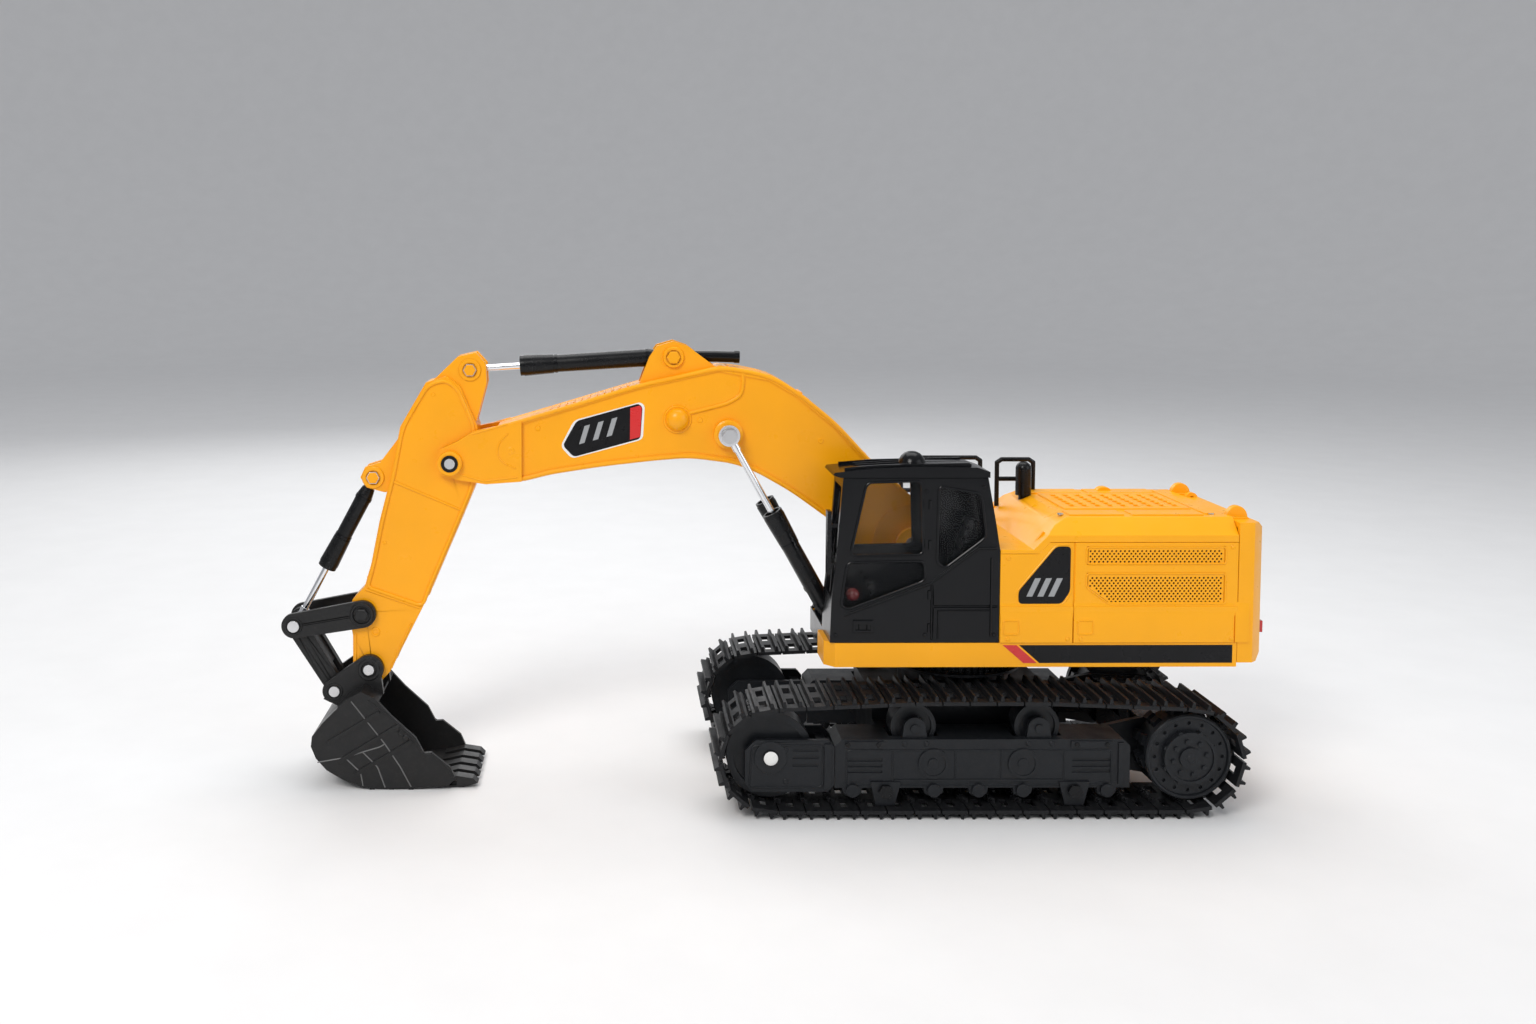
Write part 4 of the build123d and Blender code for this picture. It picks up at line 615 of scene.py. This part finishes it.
# Rows of cross ribs on the boom's top: first rib, last rib, how many
TREAD_ROWS = (((-132, 233.0), (-84, 247.6), 11), ((-22, 260.0), (-2, 256.4), 5),
              ((24, 243.6), (64, 205.6), 10))
FOOT, CREST, HALF_TREAD = 0.9, 0.6, 9.5
treads = Shape()
for start, end, count in TREAD_ROWS:
    dx, dz = end[0] - start[0], end[1] - start[1]
    far = math.hypot(dx, dz)
    ux, uz = dx / far, dz / far
    for k in range(count):
        t = k / (count - 1)
        x, z = start[0] + dx * t, start[1] + dz * t
        outline = [(x - ux * FOOT, z - uz * FOOT - CREST), (x + ux * FOOT, z + uz * FOOT - CREST),
                   (x + ux * CREST - uz * CREST, z + uz * CREST + ux * CREST),
                   (x - ux * CREST - uz * CREST, z - uz * CREST + ux * CREST)]
        treads.prism(outline, -HALF_TREAD, HALF_TREAD)
put(treads, "boom_treads", "boom", ORANGE)

BOOM_FIELD = [(-117.5, 227), (-76.3, 238.3), (-73.6, 236), (-74.7, 215), (-119, 203), (-126, 210.7)]


def boom_decal_rim(shape, side):
    shape.prism(rounded(BOOM_FIELD, 3.0), *out(side, BOOM_Y, BOOM_Y + 0.10))


def boom_decal(shape, side):
    shape.prism(rounded(inset(BOOM_FIELD, 1.6), 2.4), *out(side, BOOM_Y + 0.08, BOOM_Y + 0.18))


def boom_decal_end(shape, side):
    shape.prism([(-82.6, 234.6), (-76.8, 236.2), (-75.4, 235.0), (-76.4, 216.6), (-82.8, 214.9)],
                *out(side, BOOM_Y + 0.16, BOOM_Y + 0.26))


def boom_decal_bars(shape, side):
    for x in (-112.0, -103.5, -95.0):
        rise = (x + 112) * 0.27
        bar = [(x - 2.4, 212 + rise), (x + 1.0, 213 + rise), (x + 4.4, 224.4 + rise), (x + 1.0, 223.4 + rise)]
        shape.prism(bar, *out(side, BOOM_Y + 0.16, BOOM_Y + 0.26))


both(boom_decal_rim, "boom_decal_rim", "boom", DECAL_WHITE)
both(boom_decal, "boom_decal", "boom", DECAL_BLACK)
both(boom_decal_end, "boom_decal_end", "boom", DECAL_RED)
both(boom_decal_bars, "boom_decal_bars", "boom", DECAL_GREY)

# ------------------------------------------------------------------ stick
STICK_LINE = [(-197.6, 252.0), (-208.2, 248.9), (-224.0, 222.6), (-230.1, 191.3), (-237.3, 163.6),
              (-242.7, 136.7), (-247.0, 122.0), (-240.4, 119.6), (-212.4, 109.8), (-209.6, 119.0),
              (-190.2, 164.3), (-180.8, 187.0), (-179.6, 222.4), (-189.8, 246.6)]


def stick_beads(shape, side):
    line = rounded(STICK_LINE, 7.0)
    bead(shape, side, line, STICK_Y + 0.1, 1.2, closed=True)
    for line in ([(-219.8, 99.0), (-232.6, 70.5)], [(-254.6, 92.0), (-254.8, 71.0)]):
        bead(shape, side, line, STICK_Y, 0.7)
    ring_profile = [(1.6, STICK_Y), (1.9, STICK_Y + 0.5), (2.6, STICK_Y + 0.5), (3.0, STICK_Y)]
    shape.turned((-242.2, 93.5), ring_profile, n=20, side=side)
    for x, z in ((-236, 150), (-205, 243), (-246, 128)):
        shape.turned((x, z), [(0.01, STICK_Y + 0.3), (0.9, STICK_Y + 0.4), (1.3, STICK_Y)], n=14, side=side)


both(stick_beads, "stick_rim_bead", "stick", ORANGE)


def yellow_heads(shape, side):
    for c, r, y in ((STICK_CYL_EYE, 5.0, 10.9), (BUCKET_CYL_FOOT, 5.0, 10.1)):
        shape.turned(c, [(0.01, y), (r - 1.6, y), (r - 0.9, y - 0.5), (r - 0.9, y - 2.4)], n=6, side=side)
        shape.turned(c, [(r - 0.4, y - 1.5), (r + 1.6, y - 1.5), (r + 2.0, y - 2.2)], n=32, side=side)


both(yellow_heads, "stick_bolt_caps", "stick", ORANGE)


def boom_heads(shape, side):
    c, r, y = STICK_CYL_FOOT, 5.0, 13.0
    shape.turned(c, [(0.01, y), (r - 1.4, y), (r - 0.7, y - 0.5), (r - 0.7, y - 2.8)], n=6, side=side)
    shape.turned(c, [(r - 0.4, 11.2), (r + 1.2, 11.2), (r + 1.8, 10.0), (r + 1.8, 9.2)], n=32, side=side)


both(boom_heads, "boom_bolt_caps", "boom", ORANGE)

tail = Shape()
tail.tube([(-50.5, 0, 266.0), (-30.0, 0, 265.8), (-14.6, 0, 265.4)], 3.5, n=24)
tail.tube([(-17.0, 0, 265.5), (-13.8, 0, 265.4)], 3.9, n=24)
put(tail, "stick_cylinder_tail", "stick_cylinder_barrel", GLOSS_BLACK)


def ring(shape, foot, eye, y, start, stop, radius):
    """Open ring round a cylinder tube; its inner face lies in the tube's wall."""
    length, count = math.hypot(eye[0] - foot[0], eye[1] - foot[1]), 28
    ux, uz = (eye[0] - foot[0]) / length, (eye[1] - foot[1]) / length
    inner, outer = radius - 0.3, radius + 0.4
    profile = [(inner, start), (outer, start), (outer, stop), (inner, stop)]
    points, faces = [], []
    for i in range(count):
        c, s = math.cos(2 * math.pi * i / count), math.sin(2 * math.pi * i / count)
        points += [(foot[0] + ux * d - uz * r * c, y + r * s, foot[1] + uz * d + ux * r * c)
                   for r, d in profile]
        for j in range(4):
            a, b = i * 4, (i + 1) % count * 4
            faces.append([a + j, b + j, b + (j + 1) % 4, a + (j + 1) % 4])
    shape.add(points, faces)


# Body, foot pin, eye pin, places across, distance from the foot to the gland's end, tube radius
TUBES = (("boom_cylinder_barrels", CYL_FOOT, CYL_EYE, (-20.0, 20.0), 80.0, 5.5),
         ("stick_cylinder_barrel", STICK_CYL_FOOT, STICK_CYL_EYE, (0.0,), 96.0, 5.5),
         ("bucket_cylinder_barrel", BUCKET_CYL_FOOT, LEVER_TIP, (0.0,), 66.0, 5.0))
BAND_WIDTH = 1.8
for name, foot, eye, places, gland, radius in TUBES:
    bands = Shape()
    for y in places:
        for start in (gland - 23.4, gland - 2.2, 15.0):
            ring(bands, foot, eye, y, start, start + BAND_WIDTH, radius)
    put(bands, name + "_bands", name, GLOSS_BLACK)


# ------------------------------------------------------------------ lever, link, bucket
EAR_RING_R = 6.4


def ear_rings(shape, side):
    r = EAR_RING_R
    profile = [(r - 2.0, 15.0), (r - 1.4, 15.9), (r, 15.9), (r + 0.8, 15.0)]
    shape.turned(BUCKET_PIVOT, profile, n=32, side=side)


both(ear_rings, "bucket_ear_rings", "bucket", BUCKET_BLACK)


def bucket_lines(shape, side):
    y = BUCKET_Y
    for line in ([(-275.5, 17.4), (-258.5, 20.3), (-247.7, 23.8), (-236.8, 27.0), (-233.9, 28.9)],
                 [(-258.5, 20.3), (-249.0, 11.0), (-247.6, 2.6)],
                 [(-247.7, 23.8), (-238.6, 14.6), (-234.0, 1.6)],
                 [(-254.4, 55.5), (-233.9, 28.9), (-224.5, 14.4), (-218.0, 1.9)]):
        bead(shape, side, rounded(line, 2.0, closed=False), y, 0.4)


# The raised edge beads are coloured light grey as a painted highlight.
both(bucket_lines, "bucket_panel_edges", "bucket", EDGE_HIGHLIGHT)


def bucket_rims(shape, side):
    y = BUCKET_Y
    for c in ((-226.6, 38.6), (-223.8, 35.4), (-221.0, 32.4)):
        shape.turned(c, [(0.01, y + 0.3), (1.0, y + 0.5), (1.6, y + 0.4), (2.0, y)], n=18, side=side)
    rim = [(-244, 56), (-230, 45.2), (-215.4, 31.6), (-210.6, 22.4), (-204.8, 22.2), (-194.6, 13.4),
           (-192.2, 7.6)]
    bead(shape, side, rounded(rim, 3.0, closed=False), y - 0.2, 0.7)


both(bucket_rims, "bucket_mouldings", "bucket", BUCKET_BLACK)


def lever_rings(shape, side):
    shape.turned(LEVER_PIVOT, [(5.4, 14.6), (5.9, 15.7), (7.0, 15.7), (7.6, 14.6)], n=40, side=side)
    shape.turned(LEVER_TIP, [(4.3, 14.6), (4.6, 15.2), (5.2, 15.2), (5.6, 14.6)], n=32, side=side)


both(lever_rings, "lever_rings", "levers", BUCKET_BLACK)


def lever_caps(shape, side):
    shape.turned(LEVER_PIVOT, [(0.01, 17.2), (3.6, 17.2), (4.2, 16.8), (4.2, 15.3)], n=6, side=side)


both(lever_caps, "stick_pivot_caps", "stick", BUCKET_BLACK)


def link_rings(shape, side):
    shape.turned(LINK_PIVOT, [(3.9, 15.0), (4.2, 15.6), (5.0, 15.6), (5.4, 15.0)], n=32, side=side)


both(link_rings, "bucket_link_rings", "bucket", BUCKET_BLACK)


# ------------------------------------------------------------------ undercarriage
BEAM_Y, YOKE_Y = 68.0, 69.0


def beam_details(shape, side):
    line = rounded([(44, 17.8), (200, 17.8), (200, 38.6), (44, 38.6)], 2.5)
    bead(shape, side, line, BEAM_Y, 0.5, closed=True)
    for x in (71.0, 108.0, 135.0, 172.0):
        bead(shape, side, [(x, 19.5), (x, 37.5)], BEAM_Y, 0.5)
    for x in (78.0, 91.0, 151.0, 165.0):
        shape.turned((x, 42.4), [(0.01, 68.6), (1.2, 68.6), (1.6, 68.2), (1.6, 67.4)], n=16, side=side)
    for x in (47.4, 66.7, 95.3, 121.7, 147.8, 178.0, 197.4):
        tab = rounded([(x - 6.2, 19.6), (x - 5.2, 12.2), (x + 5.2, 12.2), (x + 6.2, 19.6)], 1.6)
        shape.prism(tab, *out(side, 66.4, 68.15))


both(beam_details, "beam_details", "undercarriage", FRAME_BLACK)


def yoke_details(shape, side):
    line = rounded([(-13.5, 17), (30, 17), (30, 42), (-12, 42)], 3.5)
    bead(shape, side, line, YOKE_Y, 0.6, closed=True)
    for x, z in ((33, 20.5), (33, 38.5), (8, 20.5), (8, 39.5)):
        shape.turned((x, z), [(0.01, 69.6), (1.1, 69.6), (1.5, 69.2), (1.5, 68.6)], n=16, side=side)


both(yoke_details, "yoke_details", "undercarriage", FRAME_BLACK)

BOLT_CIRCLE_R = 15.2
for side, label in ((-1, "left"), (1, "right")):
    cap_profile = [(0.01, 71.9), (2.6, 71.8), (3.9, 71.2), (4.3, 70.9), (4.3, 70.2)]
    cap = Shape().turned(IDLER, cap_profile, n=32, side=side)
    put(cap, "idler_axle_cap_" + label, "idler_wheel_" + label, WHITE_PIN)
    hub = Shape()
    hub.turned(SPROCKET, [(0.01, 73.4), (2.0, 73.4), (2.4, 73.1), (3.4, 73.1), (3.8, 72.9)], n=32, side=side)
    for i in range(8):
        a = math.radians(45 * i + 22.5)
        c = (SPROCKET[0] + BOLT_CIRCLE_R * math.cos(a), SPROCKET[1] + BOLT_CIRCLE_R * math.sin(a))
        hub.disc(c, 1.5, *out(side, 68.8, 72.1), n=14)
    hub.turned(SPROCKET, [(22.9, 69.4), (23.3, 70.1), (24.6, 70.1), (25.2, 69.4)], n=64, side=side)
    put(hub, "final_drive_details_" + label, "drive_" + label, FRAME_BLACK)

# ------------------------------------------------------------------ stage, light, camera
# A flat round floor that turns up into a wall all round, in metres
FLOOR_R, COVE_R, WALL_TOP, AROUND = 3.2, 1.6, 4.5, 64
floor_mesh = bpy.data.meshes.new("floor")
bends = [math.radians(a) for a in range(10, 91, 10)]
bowl = [(0.0, 0.0), (FLOOR_R, 0.0)]
bowl += [(FLOOR_R + COVE_R * math.sin(a), COVE_R - COVE_R * math.cos(a)) for a in bends]
bowl.append((FLOOR_R + COVE_R, WALL_TOP))
bowl_points, bowl_faces = [], []
for i in range(AROUND):
    turn = 2 * math.pi * i / AROUND
    bowl_points += [(r * math.cos(turn), r * math.sin(turn), z) for r, z in bowl]
    for j in range(len(bowl) - 1):
        first, second = i * len(bowl) + j, ((i + 1) % AROUND) * len(bowl) + j
        bowl_faces.append([first, second, second + 1, first + 1])
floor_mesh.from_pydata(bowl_points, [], bowl_faces)
floor_mesh.shade_smooth()
floor = bpy.data.objects.new("floor", floor_mesh)
bpy.context.scene.collection.objects.link(floor)
floor_mesh.materials.append(surface("floor_paper", (0.80, 0.80, 0.80), 0.85, spread=0.012, bump=0.02))

world = bpy.data.worlds.new("studio")
bpy.context.scene.world = world
world.use_nodes = True
world.node_tree.nodes["Background"].inputs["Color"].default_value = (0.93, 0.95, 1.0, 1)
world.node_tree.nodes["Background"].inputs["Strength"].default_value = 0.55


def area(name, place, target, size, power, colour=(1, 1, 1)):
    data = bpy.data.lights.new(name, "AREA")
    data.shape = "RECTANGLE"
    data.size, data.size_y = size
    data.energy = power
    data.color = colour
    lamp = bpy.data.objects.new(name, data)
    bpy.context.scene.collection.objects.link(lamp)
    lamp.location = place
    lamp.rotation_mode = "QUATERNION"
    lamp.rotation_quaternion = (Vector(target) - Vector(place)).to_track_quat("-Z", "Y")


area("key", (-0.75, -1.25, 1.35), (0.0, 0.0, 0.12), (0.7, 0.7), 17, (1.0, 0.98, 0.95))
area("fill", (1.3, -0.9, 0.7), (0.05, 0.0, 0.12), (1.0, 1.0), 5, (0.95, 0.97, 1.0))
area("top", (0.1, 0.35, 1.5), (0.0, 0.0, 0.1), (1.4, 0.9), 11)
area("back", (-0.4, 1.3, 0.9), (0.0, 0.0, 0.15), (1.2, 0.8), 5)

camera_data = bpy.data.cameras.new("camera")
camera = bpy.data.objects.new("camera", camera_data)
bpy.context.scene.collection.objects.link(camera)
camera_data.sensor_width = 36.0
camera_data.lens = 31.453
camera_data.shift_x = 0.100
camera_data.shift_y = -0.120
camera.location = (-0.0967, -0.842, 0.3298)
# Tilted a little down, and turned a little to +X
pitch, yaw = math.radians(3.119), math.radians(0.294)
look = Vector((math.sin(yaw) * math.cos(pitch), math.cos(yaw) * math.cos(pitch), -math.sin(pitch)))
camera.rotation_mode = "QUATERNION"
camera.rotation_quaternion = look.to_track_quat("-Z", "Y")
bpy.context.scene.camera = camera

bpy.context.scene.view_settings.view_transform = "Standard"

bpy.context.view_layer.update()
